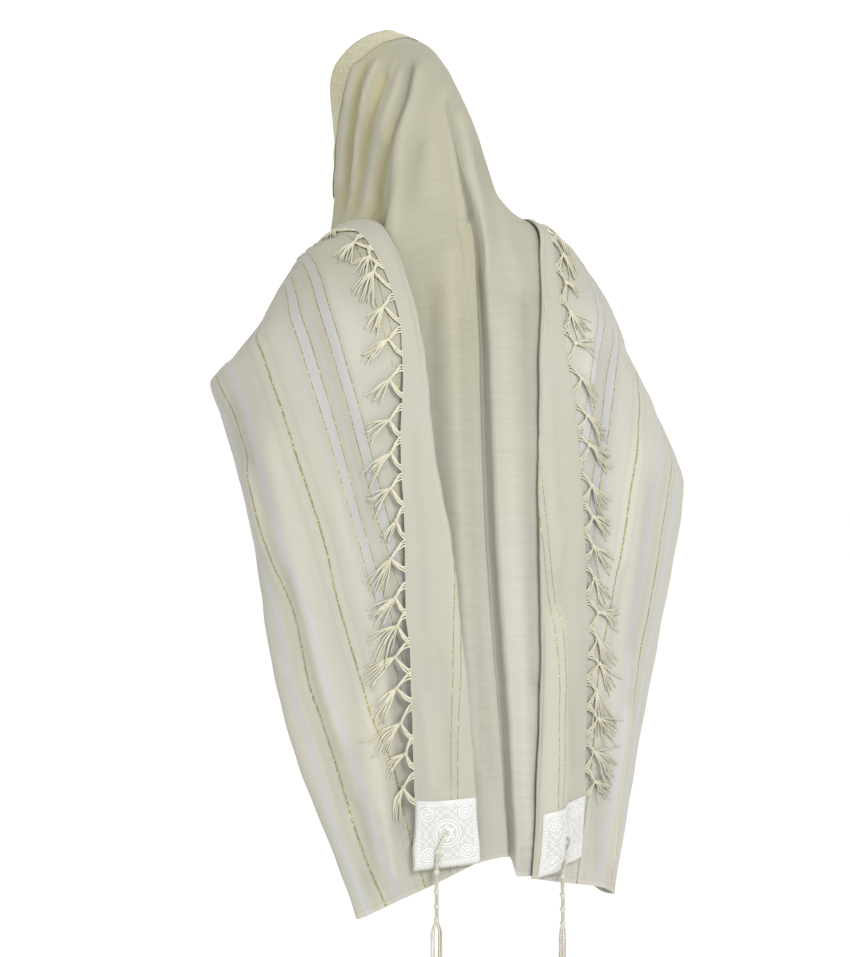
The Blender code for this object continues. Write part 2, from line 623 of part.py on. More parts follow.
def tzitzit(name, grid, normals, rows, side, end):
    """A wound and knotted cord from a corner's eyelet past the edge, and eight strands."""
    place = square_rows(rows, end)
    column = (LINE["strip out"] + LINE["fringed edge"]) // 2
    line = half_of(grid, side)[place, column:column + 2].mean(axis=1)
    out = unit(half_of(normals, side)[place, column:column + 2].mean(axis=1))
    if end == "front":
        line, out = line[::-1], out[::-1]
    steps = np.concatenate(([0.0], np.cumsum(np.linalg.norm(np.diff(line, axis=0), axis=1))))
    where = np.array((0.5, 0.75, 1.0)) * steps[-1]
    on_square = hermite(steps, line + out * TZITZIT_STAND_OFF, where)
    below = [on_square[-1] + np.array((0.0, 0.0, -1.0)) * drop for drop in (60.0, TZITZIT_LENGTH)]
    path = np.concatenate((on_square, below))
    solid = Solid()
    rings = []
    for distance, radius in TZITZIT_CORD + TZITZIT_ROOT_RINGS:
        middle, ahead = along_path(path, distance)
        front = unit(out[0] - ahead * np.dot(out[0], ahead))
        right = np.cross(ahead, front)
        turns = (np.arange(TZITZIT_SIDES) + 0.5) * 2 * np.pi / TZITZIT_SIDES
        rings.append(solid.ring([middle + radius * (np.cos(t) * front + np.sin(t) * right) for t in turns]))
    solid.cap(rings[0])
    solid.cap(rings[-1])
    strand_bands = {len(rings) - 4: 0, len(rings) - 2: 1}
    for i, (ring, next_ring) in enumerate(zip(rings, rings[1:])):
        sides = range(strand_bands[i], TZITZIT_SIDES, 2) if i in strand_bands else ()
        solid.band(ring, next_ring, sides)
        for k in sides:
            following = (k + 1) % TZITZIT_SIDES
            root = (ring[k], ring[following], next_ring[following], next_ring[k])
            angle = (k + 1) * 2 * np.pi / TZITZIT_SIDES
            away = np.cos(angle) * front + np.sin(angle) * right
            sideways = np.cos(angle) * right - np.sin(angle) * front
            solid.grow(root, tzitzit_strand(solid, root, away, sideways, k))
    add_object(name, solid.points, solid.faces, "tzitzit_yarn")


def tzitzit_strand(solid, root, away, sideways, k):
    """The rings of a strand that leaves the cord's side, turns down and hangs."""
    start = np.mean([solid.points[index] for index in root], axis=0)
    fall = np.array((0.0, 0.0, -1.0))
    length = TZITZIT_LENGTH - TZITZIT_ROOT_RINGS[-1][0] - TZITZIT_UNEVENNESS * (1 + uneven(k))
    end_spread = TZITZIT_SPREAD * (0.75 + 0.2 * uneven(k))
    places = (
        *TZITZIT_BEND,
        (TZITZIT_SPREAD * TZITZIT_HANG, length * TZITZIT_HANG, 1.0),
        (end_spread, length, 1.0),
    )
    for distance, drop, turned in places:
        middle = start + away * distance + fall * drop
        top = away * np.sin(turned * np.pi / 2) - fall * np.cos(turned * np.pi / 2)
        yield square_ring(middle, sideways, top, TZITZIT_STRAND_WIDTH)


def main():
    remove_everything()
    rows = cloth_rows()
    grid, normals = folded_cloth(rows)
    cloth_panels(grid, normals)
    atarah(grid, normals, rows)
    fringe_parts = {
        "front": (FRINGE_ENDS[0], FRINGE_RIDGE - SEAM_GAP),
        "back": (FRINGE_RIDGE + SEAM_GAP, FRINGE_ENDS[1]),
    }
    for side, side_name in ((1, "left"), (-1, "right")):
        for end, (first, last) in fringe_parts.items():
            corner_square(f"corner_{side_name}_{end}", grid, normals, rows, side, end)
            fringe(f"fringe_{side_name}_{end}", grid, normals, rows, side, first, last)
            tzitzit(f"tzitzit_{side_name}_{end}", grid, normals, rows, side, end)


main()
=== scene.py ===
"""The tallit's looks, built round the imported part: cloth, stripes, atarah, corner squares,
fringe and tzitzit, with the camera, floor and lights.

The cloth is drawn in the working frame of its tables: millimetres, with the wearer's
spine at X = Y = 0.  Every piece is moved by CROWN and scaled to metres when it is made.
"""
import math

import bpy
import numpy as np
from mathutils import Matrix, Vector
from mathutils.bvhtree import BVHTree


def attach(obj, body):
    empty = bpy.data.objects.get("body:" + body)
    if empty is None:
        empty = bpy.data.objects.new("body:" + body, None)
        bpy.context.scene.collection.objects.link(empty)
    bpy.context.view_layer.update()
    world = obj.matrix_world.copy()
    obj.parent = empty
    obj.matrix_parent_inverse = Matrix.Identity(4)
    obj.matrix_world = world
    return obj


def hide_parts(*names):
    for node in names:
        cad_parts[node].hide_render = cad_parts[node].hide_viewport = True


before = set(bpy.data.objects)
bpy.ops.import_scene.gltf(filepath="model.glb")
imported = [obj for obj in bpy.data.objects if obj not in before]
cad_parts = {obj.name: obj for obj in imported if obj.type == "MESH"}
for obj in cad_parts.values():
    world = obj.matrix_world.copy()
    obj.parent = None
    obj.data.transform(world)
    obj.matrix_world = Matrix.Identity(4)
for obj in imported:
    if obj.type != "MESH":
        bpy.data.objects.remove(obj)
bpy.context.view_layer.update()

MM = 0.001
CLOTH_WIDTH = 1350.0         # from the top edge, round the face, to the hem
HALF_LENGTH = 900.0          # from the middle of the cloth to a fringed edge
CROWN = (0.0, -150.0, 12.0)  # the part's origin
ARM_FOLD_RADIUS = 7.0
STRIP_FOLD_RADIUS = 2.6
LAYER_GAP = 5.0
ATARAH_REACH = 280.0
ATARAH_WIDTH = 75.0
SQUARE_SIDE = 93.0

WALL = 1.0                   # the cloth as it shows
HEM_WALL = 2.0
HEM_WIDTH = 7.0
HEM_THICKENS = 1.5           # how much of the cloth's width it takes to thicken to the hem
FINE_ROWS = 276
# Fine columns from one line to the next, beyond the middle of the back.
FINE_STEPS = {"temple": 14, "neck": 9, "shoulder": 8, "turn in": 7, "turn": 7, "turn out": 12, "arm": 24,
              "blade": 28, "strip in": 7, "strip fold": 7, "strip out": 20}
CENTRE_STEPS = (24, 46, 30)  # right of the pleat, across it, and left of it
PLEAT_BAND = (-25.0, 24.0)   # what the columns across the pleat take in, right of its edge

# The cloth's lines, each as its points by distance from the top edge.
# The middle of the cloth, over the head and down the back.
SPINE = {
    0: (0, -170, 16), 70: (0, -104, -2), 150: (0, -38, -24), 240: (0, 12, -80), 340: (0, 42, -172),
    450: (0, 78, -276), 535: (0, 108, -357), 620: (0, 132, -440), 700: (0, 142, -520), 780: (0, 147, -600),
    1050: (0, 152, -855), 1350: (0, 150, -1112),
}
# The inner layer: hood, shoulders and back.
# Each row: temple, neck, shoulder, turn over the arm.
INNER_LEFT = {
    0: ((80, -171, -40), (80, -158, -160), (94, -154, -300), (150, -176, -600)),
    70: ((76, -110, -50), (92, -122, -165), (110, -122, -312), (180, -168, -572)),
    150: ((66, -48, -78), (80, -50, -190), (136, -86, -322), (208, -158, -548)),
    240: ((62, 2, -134), (80, -6, -232), (170, -46, -340), (232, -144, -526)),
    340: ((62, 34, -204), (92, 20, -296), (208, -18, -366), (254, -126, -506)),
    450: ((76, 66, -294), (146, 46, -334), (240, 2, -400), (276, -102, -492)),
    535: ((87, 98, -365), (169, 74, -382), (252, 20, -429), (286, -87, -490)),
    620: ((95, 126, -440), (180, 100, -445), (255, 38, -470), (294, -66, -486)),
    700: ((97, 136, -520), (181, 110, -523), (252, 54, -540), (281, -34, -556)),
    780: ((98, 140, -600), (180, 116, -602), (246, 68, -610), (271, 0, -625)),
    1050: ((92, 142, -860), (165, 120, -868), (218, 88, -878), (246, 60, -890)),
    1350: ((60, 126, -1118), (102, 102, -1140), (132, 94, -1160), (154, 105, -1178)),
}
INNER_RIGHT = {
    0: ((-72, -180, -42), (-88, -160, -160), (-94, -154, -296), (-152, -178, -612)),
    70: ((-66, -124, -48), (-82, -105, -165), (-110, -122, -306), (-186, -172, -600)),
    150: ((-57, -54, -78), (-80, -50, -186), (-136, -86, -314), (-222, -162, -590)),
    240: ((-56, 0, -133), (-86, -3, -220), (-172, -44, -326), (-258, -144, -584)),
    340: ((-56, 33, -200), (-102, 20, -254), (-214, -12, -340), (-296, -116, -583)),
    450: ((-74, 70, -282), (-142, 50, -286), (-250, 4, -392), (-332, -82, -588)),
    535: ((-88, 102, -360), (-172, 84, -368), (-266, 24, -432), (-350, -56, -596)),
    620: ((-95, 126, -440), (-182, 100, -442), (-282, 40, -478), (-366, -28, -600)),
    780: ((-98, 140, -600), (-185, 116, -602), (-285, 62, -610), (-370, 8, -622)),
    1050: ((-95, 143, -860), (-180, 118, -865), (-258, 65, -875), (-311, 18, -885)),
    1350: ((-75, 136, -1124), (-135, 108, -1140), (-195, 68, -1155), (-243, 48, -1178)),
}

# The wing: from the turn over the arm back to the fringed edge.
# Each row: arm, blade, fold of the turned-back strip, fringed edge.
WING_LEFT = {
    0: ((122, -186, -600), (90, -189, -592), (54, -190, -580), (146, -206, -590)),
    70: ((158, -182, -535), (120, -188, -522), (76, -186, -510), (144, -202, -520)),
    150: ((196, -172, -480), (150, -182, -450), (96, -178, -433), (138, -192, -443)),
    240: ((208, -140, -440), (168, -146, -385), (113, -152, -354), (140, -162, -365)),
    340: ((216, -92, -416), (176, -76, -334), (124, -84, -286), (148, -92, -298)),
    450: ((246, -22, -408), (178, -8, -306), (100, 22, -264), (126, 3, -275)),
    535: ((258, 13, -414), (182, 60, -344), (89, 90, -313), (113, 75, -318)),
    620: ((268, 40, -440), (190, 115, -415), (82, 140, -392), (106, 132, -390)),
    780: ((258, 78, -615), (180, 134, -590), (74, 172, -550), (118, 171, -545)),
    1050: ((205, 105, -880), (128, 146, -860), (36, 177, -820), (116, 178, -815)),
    1350: ((125, 116, -1165), (72, 134, -1140), (9, 174, -1105), (95, 153, -1116)),
}
WING_RIGHT = {
    0: ((-122, -188, -608), (-90, -190, -598), (-56, -190, -582), (-148, -206, -592)),
    70: ((-162, -184, -556), (-122, -188, -530), (-78, -186, -506), (-146, -202, -516)),
    150: ((-200, -174, -505), (-152, -182, -456), (-98, -178, -428), (-140, -192, -438)),
    240: ((-236, -150, -468), (-182, -152, -390), (-116, -150, -346), (-144, -160, -357)),
    340: ((-270, -104, -440), (-205, -88, -332), (-126, -80, -274), (-151, -92, -286)),
    450: ((-292, -20, -424), (-205, -2, -296), (-115, 28, -266), (-138, 16, -268)),
    535: ((-288, 16, -452), (-203, 58, -352), (-114, 92, -315), (-138, 84, -318)),
    620: ((-296, 45, -488), (-200, 112, -425), (-94, 145, -430), (-131, 136, -425)),
    780: ((-300, 75, -600), (-195, 128, -590), (-83, 160, -585), (-146, 148, -575)),
    1050: ((-265, 85, -872), (-185, 130, -860), (-85, 167, -850), (-160, 147, -830)),
    1350: ((-210, 88, -1162), (-145, 118, -1148), (-76, 160, -1134), (-168, 136, -1115)),
}

# ---------------------------------------------------------------- camera

CAMERA_AZIMUTH = math.radians(157)
CAMERA_ELEVATION = math.radians(1)
CAMERA_DISTANCE = 4000.0
MM_PER_PIXEL = 1.35          # at the spine
PICTURE = (850, 957)
AIM = np.array((12.4, -5.3, -608.2))
CAMERA_RIGHT = np.array((math.cos(CAMERA_AZIMUTH), math.sin(CAMERA_AZIMUTH), 0.0))
TO_CAMERA = np.cross(CAMERA_RIGHT, (0.0, 0.0, math.cos(CAMERA_ELEVATION)))
TO_CAMERA[2] = math.sin(CAMERA_ELEVATION)
CAMERA_UP = np.cross(TO_CAMERA, CAMERA_RIGHT)
CAMERA_PLACE = AIM + TO_CAMERA * CAMERA_DISTANCE


def seen_at(points):
    """Where points show in the picture, in pixels from its top left."""
    away = np.asarray(points) - CAMERA_PLACE
    scale = CAMERA_DISTANCE / MM_PER_PIXEL / -(away @ TO_CAMERA)
    across, down = scale * (away @ CAMERA_RIGHT), -scale * (away @ CAMERA_UP)
    return np.stack((PICTURE[0] / 2 + across, PICTURE[1] / 2 + down), -1)


def in_frame(point):
    """A point of the working frame, in metres in the part's frame."""
    return (np.asarray(point, float) - CROWN) * MM


def add_to_scene(name, data):
    """A new object of the scene that holds this data."""
    thing = bpy.data.objects.new(name, data)
    bpy.context.scene.collection.objects.link(thing)
    return thing


def add_camera():
    data = bpy.data.cameras.new("camera")
    data.sensor_width = 36.0
    data.lens = CAMERA_DISTANCE / MM_PER_PIXEL / max(PICTURE) * data.sensor_width
    data.clip_end = 100.0
    camera = add_to_scene("camera", data)
    axes = Matrix(np.stack((CAMERA_RIGHT, CAMERA_UP, TO_CAMERA), axis=1).tolist())
    camera.matrix_world = Matrix.Translation(in_frame(CAMERA_PLACE)) @ axes.to_4x4()
    bpy.context.scene.camera = camera


# ---------------------------------------------------------------- curves and surfaces

def hermite(knots, points, where):
    """The smooth curve through points (one at each knot), read at each place in where.

    The curves of a group may each be read at their own places, which are then where's columns.
    """
    knots, points, where = (np.asarray(values, float) for values in (knots, points, where))
    steps = np.diff(knots)
    wide = steps.reshape((-1,) + (1,) * (points.ndim - 1))
    slopes = np.diff(points, axis=0) / wide
    inner = (slopes[:-1] * wide[1:] + slopes[1:] * wide[:-1]) / (wide[1:] + wide[:-1])
    tangents = np.concatenate((slopes[:1], inner, slopes[-1:]))
    i = np.clip(np.searchsorted(knots, where, side="right") - 1, 0, len(steps) - 1)
    shape = where.shape + (1,) * (points.ndim - where.ndim)
    h = steps[i].reshape(shape)
    t = ((where - knots[i]) / steps[i]).reshape(shape)
    near, far = ((i + k, *map(np.arange, where.shape[1:])) for k in (0, 1))
    return ((1 + 2 * t) * (1 - t) ** 2 * points[near] + t * (1 - t) ** 2 * h * tangents[near]
            + t * t * (3 - 2 * t) * points[far] + t * t * (t - 1) * h * tangents[far])


def table_rows(table, rows):
    """The table's lines down the cloth, read at each distance in rows."""
    return hermite(list(table), list(table.values()), rows)


def read_rows(knots, grid, where):
    """Each row of a grid as a smooth curve, read at that row's own places."""
    return hermite(knots, grid.swapaxes(0, 1), where.T).swapaxes(0, 1)


def unit(vectors):
    """The same directions, one unit long."""
    return vectors / np.linalg.norm(vectors, axis=-1, keepdims=True)


def lengths_along(path):
    """How far along a path each of its points lies."""
    return np.concatenate(([0.0], np.cumsum(np.linalg.norm(np.diff(path, axis=0), axis=1))))


def lengths_across(grid):
    """How far along its row each point of a grid lies."""
    return np.array([lengths_along(row) for row in grid])


def smooth_step(t):
    t = np.clip(t, 0, 1)
    return t * t * (3 - 2 * t)


def rising(values, start, end):
    """0 at the start and before it, 1 from the end on, and smooth between; the end may be the lower."""
    return smooth_step((values - start) / (end - start))


def smoothed(values, width):
    """Values along a line, or columns of them, averaged over so many neighbours."""
    kernel = np.hanning(width) / np.hanning(width).sum()
    columns = np.pad(values.T, [(0, 0)] * (values.ndim - 1) + [(width // 2, width // 2)], mode="edge")
    return np.apply_along_axis(np.convolve, -1, columns, kernel, mode="valid").T


def fold_points(before, fold, after, turns):
    """Three points round a fold: where the cloth enters it, its crest and where it leaves.

    The arguments are whole columns, and turns is the fold's radius, negative where the cloth
    turns the other way.
    """
    down = unit(np.gradient(fold, axis=0))
    crest = fold - (before + after) / 2
    crest = unit(crest - down * np.sum(crest * down, axis=1, keepdims=True))
    away = np.cross(crest, down) * turns
    into = fold - crest * abs(turns)
    return into - away, fold, into + away


def row_curve(points, counts):
    """A smooth line through points, with counts[i] steps between point i and the next."""
    chords = np.sqrt(np.linalg.norm(np.diff(points, axis=0), axis=1))
    knots = np.concatenate(([0.0], np.cumsum(chords)))
    marks = np.cumsum((0, *counts))
    return hermite(knots, points, np.interp(range(marks[-1] + 1), marks, knots))


def faces_of(rows, columns):
    """Quads between the points of a grid, facing outward."""
    return [(i * columns + j, i * columns + j + 1, (i + 1) * columns + j + 1, (i + 1) * columns + j)
            for i in range(rows - 1) for j in range(columns - 1)]


def tree_of(grid):
    return BVHTree.FromPolygons([Vector(p) for p in grid.reshape(-1, 3)], faces_of(*grid.shape[:2]))


def outward_normals(grid):
    return unit(np.cross(np.gradient(grid, axis=1), np.gradient(grid, axis=0)))


def spread(field):
    """A grid of vectors, each averaged with its neighbours."""
    for axis in (0, 1):
        padded = np.concatenate((field.take([0], axis), field, field.take([-1], axis)), axis)
        size = field.shape[axis]
        field = (padded.take(range(size), axis) + 2 * field + padded.take(range(2, size + 2), axis)) / 4
    return field


def near_path(places, path, reach, samples):
    """How places on a plane lie to a path: the distance, the nearest point, and how far along it is.

    The last value is the path's length.  Places out of reach are at an infinite distance.
    """
    lengths = lengths_along(path)
    along = np.linspace(0, lengths[-1], samples)
    line = hermite(lengths, path, along)
    flat = places.reshape(-1, 2)
    distance = np.full(len(flat), np.inf)
    nearest = np.zeros(len(flat), int)
    near = np.flatnonzero(np.all((flat > line.min(0) - reach) & (flat < line.max(0) + reach), axis=1))
    if len(near):
        gaps = np.linalg.norm(flat[near, None] - line, axis=-1)
        distance[near] = gaps.min(axis=1)
        nearest[near] = gaps.argmin(axis=1)
    nearest = nearest.reshape(places.shape[:-1])
    return distance.reshape(nearest.shape), line[nearest], along[nearest], lengths[-1]


# ---------------------------------------------------------------- the draped cloth

# Lines down each half of the cloth, and the steps from each of them to the next.
HALF_LINES = ("spine", "temple", "neck", "shoulder", "turn in", "turn", "turn out", "arm", "blade",
              "strip in", "strip fold", "strip out", "fringed edge")
HALF_STEPS = (4, 3, 4, 4, 2, 2, 3, 4, 4, 2, 2, 3)
LINE = dict(zip(HALF_LINES, np.cumsum((0, *HALF_STEPS)).tolist()))
# Rows of points: from one distance to the next, in steps of about so much.
ROW_STEPS = ((0, 300, 27), (300, 620, 40), (620, CLOTH_WIDTH, 75))
LEAST_ROW_STEP = 10.0
TURN_FADE = 4                # columns before the turn over which the inner layer's folds die away
HELD_COLUMNS = 3             # a layer's first columns, which round its fold and aren't moved
LAYING_PASSES = 8            # times that a layer is moved off the one under it

# Folds in the inner layer: (path, half width, height).  The path runs through (from the top
# edge, left of the spine), and the height is outward.
BLADE_FOLDS = (
    (((430, 60), (700, 75), (1100, 60), (1350, 45)), 26, -7),
    (((420, -110), (800, -120), (1350, -110)), 24, 6),
)
HOOD_FOLDS = (
    (((165, 20), (168, 90), (188, 190), (215, 280)), 20, -11),
    (((95, 30), (98, 120), (105, 230)), 14, -5),
    (((235, 50), (250, 150), (290, 230)), 20, 6),
    (((150, -30), (230, -60), (330, -70)), 16, -8),
)
# The deep pleat steps up on the wearer's right of its path.
PLEAT_FOLD = (((330, -14), (620, -16), (1000, -32), (1350, -50)), 9, 18)
PLEAT_REACH = 70.0           # how far a pleat's raised side reaches
# A fold's kind: points along its path, half widths over which it dies away towards its ends,
# the share of that already reached at the ends, and half widths to either side that it may reach.
FOLD = (60, 3.0, 0.3, math.inf)
CREASE = (50, 3.5, 0.15, 3.5)
FACING = 0.7                 # a point is over a surface when its height is this much of its distance
LAYER_REACH = 60.0           # how far a layer looks for the one under it


def cloth_rows():
    """Distances from the top edge at which the cloth's rows are made."""
    kept = [0.0, ATARAH_WIDTH, SQUARE_SIDE, CLOTH_WIDTH - SQUARE_SIDE, CLOTH_WIDTH - SQUARE_SIDE / 2]
    rows = [CLOTH_WIDTH]
    for start, end, step in ROW_STEPS:
        rows += np.linspace(start, end, round((end - start) / step), endpoint=False).tolist()
    return sorted([v for v in rows if min(abs(v - k) for k in kept) > LEAST_ROW_STEP] + kept)


def half_controls(inner, wing, side):
    """Columns of points that the half rows pass through, from the temple to the fringed edge."""
    temple, neck, shoulder, turn = np.moveaxis(inner, 1, 0)
    arm, blade, strip, edge = np.moveaxis(wing, 1, 0)
    turn_points = fold_points(shoulder, turn, arm, side * ARM_FOLD_RADIUS)
    strip_points = fold_points(blade, strip, edge, -side * STRIP_FOLD_RADIUS)
    return [temple, neck, shoulder, *turn_points, arm, blade, *strip_points, edge]


def whole_cloth(rows):
    """Grid of points: rows down the cloth, columns from its right edge to its left."""
    left = half_controls(table_rows(INNER_LEFT, rows), table_rows(WING_LEFT, rows), 1)
    right = half_controls(table_rows(INNER_RIGHT, rows), table_rows(WING_RIGHT, rows), -1)
    controls = np.stack([*right[::-1], table_rows(SPINE, rows), *left], axis=1)
    return np.array([row_curve(points, HALF_STEPS[::-1] + HALF_STEPS) for points in controls])


def shortfalls(points, normals, tree, gap, outward):
    """Where points lie closer than gap to a surface: (index, face, the move that parts them).

    Normals are the points' own, or None to use the surface's.  Outward is 1 where the points
    should lie outside the surface, and -1 where the surface should lie outside the points.
    """
    found = []
    for index, point in enumerate(points):
        nearest, normal, face, distance = tree.find_nearest(Vector(point), LAYER_REACH)
        if nearest is None:
            continue
        direction = np.array(normal) if normals is None else normals[index]
        height = outward * float(np.dot(point - np.array(nearest), direction))
        if height < gap and abs(height) > FACING * distance:
            found.append((index, face, (gap - height) * direction))
    return found


def laid_over(layer, under):
    """The layer, moved out where it would come closer than the layers' gap to the one under it."""
    under_tree = tree_of(under)
    under_normals = outward_normals(under).reshape(-1, 3)
    faces = faces_of(*layer.shape[:2])
    for _ in range(LAYING_PASSES):
        push = np.zeros((layer.size // 3, 3))
        too_low = shortfalls(layer.reshape(-1, 3), None, under_tree, LAYER_GAP, 1)
        pierced = shortfalls(under.reshape(-1, 3), under_normals, tree_of(layer), LAYER_GAP, -1)
        needs = [(k, move) for k, _, move in too_low]
        needs += [(k, move) for _, face, move in pierced for k in faces[face]]
        for k, move in needs:
            if np.linalg.norm(move) > np.linalg.norm(push[k]):
                push[k] = move
        push = push.reshape(layer.shape)
        push[:, :HELD_COLUMNS] = 0
        layer = layer + np.where(np.abs(push) > 0, push, spread(spread(push)))
    return layer


def fold_height(places, path, half_width, height, kind=FOLD):
    """How far a fold or crease moves the cloth out at each place of a plane."""
    samples, fade, start, reach = kind
    distance, _, place, length = near_path(places, path, reach * half_width, samples)
    fade = min(fade * half_width, length / 2) if kind is CREASE else fade * half_width
    ends = smooth_step(place / fade + start) * smooth_step((length - place) / fade + start)
    return height * ends * np.exp(-(distance / half_width) ** 2)


def pleat_height(places, path, half_width, height):
    samples, fade, start, reach = FOLD
    distance, nearest, place, _ = near_path(places, path, reach, samples)
    fade *= half_width
    right_of_path = (nearest - places)[..., 1]
    raised = smooth_step(right_of_path / half_width + 0.5)
    lowered = smooth_step(1 - (right_of_path - half_width) / PLEAT_REACH)
    near = smooth_step(1 - (distance - np.abs(right_of_path)) / fade)
    return height * smooth_step(place / fade + start) * raised * lowered * near


def half_of(grid, side):
    """The columns of one half (1 the left, -1 the right), from the spine to the fringed edge."""
    spine = grid.shape[1] // 2
    return grid[:, spine:] if side == 1 else grid[:, spine::-1]


def folded_cloth(plain, rows):
    """The plain cloth with its folds pressed in, and its layers kept apart."""
    across = lengths_across(plain)
    spine = plain.shape[1] // 2
    left = across - across[:, spine:spine + 1]
    places = np.stack(np.broadcast_arrays(np.array(rows)[:, None], left), -1)
    columns = np.abs(np.arange(plain.shape[1]) - spine)
    inner_only = smooth_step((LINE["turn"] - columns) / TURN_FADE)
    height = sum(fold_height(places, *fold) for fold in BLADE_FOLDS + HOOD_FOLDS)
    height = (height + pleat_height(places, *PLEAT_FOLD)) * inner_only
    grid = plain + outward_normals(plain) * height[..., None]
    inner = grid[:, spine - LINE["turn"]:spine + LINE["turn"] + 1]
    strip_in, strip_fold = LINE["strip in"], LINE["strip fold"]
    for side in (1, -1):
        half = half_of(grid, side)
        before = half[:, strip_in].copy()
        half[:, LINE["turn"]:strip_in + 1] = laid_over(half[:, LINE["turn"]:strip_in + 1], inner)
        half[:, strip_in + 1:] += (half[:, strip_in] - before)[:, None]
        wing = half[:, LINE["turn out"]:strip_in + 1][:, ::-side]
        half[:, strip_fold:] = laid_over(half[:, strip_fold:], wing)
    return grid


# ---------------------------------------------------------------- the fine cloth

# Creases of what the picture shows, each placed by its path in the picture: a layer's name,
# then (path, half width in pixels, height in millimetres towards the camera).
CREASES = {
    "inner": (
        (((343, 106), (341, 128), (338, 160), (336, 200)), 3, 3),
        (((359, 60), (354, 76), (349, 98), (346, 130), (340, 190)), 3.2, 5.5),
        (((368, 58), (360, 78), (356, 110), (352, 150), (345, 214)), 4, -6.5),
        (((381, 56), (370, 84), (362, 117), (358, 154), (348, 217)), 3.8, 7.5),
        (((388, 70), (375, 108), (367, 146), (360, 180), (353, 214)), 4.5, -6),
        (((397, 56), (384, 86), (376, 118), (366, 160), (358, 204)), 3.5, 2.5),
        (((406, 60), (396, 92), (383, 130), (375, 170), (366, 214)), 6.5, 6.5),
        (((412, 58), (406, 92), (391, 132), (381, 170), (375, 226)), 5, -9.5),
        (((421, 58), (414, 88), (402, 134), (398, 188), (393, 240)), 6.5, 6.5),
        (((424, 124), (412, 170), (406, 216)), 8, -4),
        (((430, 112), (432, 160), (438, 220)), 12, 3),
        (((441, 80), (452, 134), (459, 182), (468, 226)), 7, 5),
        (((446, 96), (458, 150), (465, 190), (472, 226)), 4, -7),
        (((457, 105), (469, 165), (479, 221), (486, 277)), 6, 7),
        (((474, 140), (484, 180), (492, 215), (498, 250)), 6, -4),
        (((488, 190), (498, 225), (512, 262), (520, 300)), 9, 3.5),
        (((432, 270), (436, 420), (446, 560), (458, 700)), 9, -4),
        (((448, 230), (454, 400), (463, 600), (474, 780)), 9, 4),
        (((466, 300), (468, 460), (476, 640), (492, 800)), 7, -3),
        (((506, 300), (512, 480), (520, 700), (527, 860)), 9, 4),
        (((528, 290), (532, 500), (535, 700)), 7, -4),
        (((515, 640), (518, 760), (524, 870)), 5, -3),
    ),
    "wing left": (
        (((398, 620), (401, 700), (404, 760), (408, 850)), 13, -10),
        (((362, 680), (372, 760), (386, 850)), 12, 7),
        (((300, 300), (330, 380), (352, 470), (372, 560)), 15, -5),
        (((262, 420), (285, 520), (312, 640), (345, 760)), 13, 5),
        (((280, 560), (310, 680), (350, 820)), 8, -5),
        (((372, 620), (386, 700), (395, 760)), 7, 4),
        (((380, 796), (388, 840), (396, 890)), 6, 5),
        (((352, 790), (366, 850), (374, 905)), 8, -5),
        (((245, 462), (253, 500), (262, 560)), 6, 5),
        (((330, 480), (350, 560), (372, 640)), 9, 3.5),
        (((320, 262), (345, 320), (365, 380)), 10, 3),
        (((226, 392), (240, 440), (252, 470)), 7, -3),
    ),
    "strip left": (
        (((424, 290), (438, 420), (450, 560), (464, 700)), 7, 3),
        (((416, 420), (423, 560), (431, 700)), 6, -3),
        (((440, 640), (448, 720), (453, 800)), 6, -3),
        (((424, 700), (430, 760), (434, 800)), 6, 2.5),
    ),
    "wing right": (
        (((606, 330), (604, 420), (596, 520), (589, 620)), 12, -6),
        (((640, 420), (628, 520), (612, 640), (604, 780)), 12, 6),
        (((622, 560), (608, 680), (600, 800), (598, 880)), 7, -6),
        (((655, 470), (645, 560), (632, 660)), 8, -5),
        (((590, 640), (588, 720), (584, 790)), 6, -4),
        (((628, 700), (618, 790), (612, 870)), 6, 5),
        (((586, 300), (592, 380), (590, 460)), 9, 4),
        (((604, 260), (622, 320), (636, 380)), 8, -3),
    ),
    "strip right": (
        (((550, 290), (553, 420), (559, 560), (566, 700)), 6, 3),
        (((560, 560), (570, 680), (578, 780)), 6, -3.5),
        (((572, 796), (574, 840), (578, 880)), 4, -5),
        (((564, 600), (560, 740), (557, 884)), 11, 13),
    ),
}
# Creases out of the picture: (path as distances from the top edge and left of the spine), half
# width and height, all in millimetres.
SIDE_CREASES = (
    (((20, 150), (150, 165), (300, 210), (420, 300)), 14, -6),
    (((10, 210), (120, 240), (260, 300), (380, 360)), 16, 5),
    (((20, 280), (140, 330), (300, 400)), 14, -5),
    (((20, 360), (120, 400), (240, 450)), 12, 4),
    (((20, -150), (150, -160), (300, -190), (420, -260)), 14, -6),
    (((10, -200), (130, -235), (260, -290), (400, -350)), 16, 5),
    (((20, -290), (150, -330), (290, -390)), 12, -7),
    (((30, -370), (130, -410), (240, -465)), 12, 4.5),
    (((500, 290), (700, 300), (1000, 260), (1350, 200)), 22, 5),
    (((480, 240), (700, 250), (1050, 215), (1350, 150)), 18, -5),
    (((520, -300), (720, -330), (1000, -300), (1350, -240)), 22, 5),
    (((500, -250), (720, -270), (1050, -240), (1350, -190)), 18, -5),
)
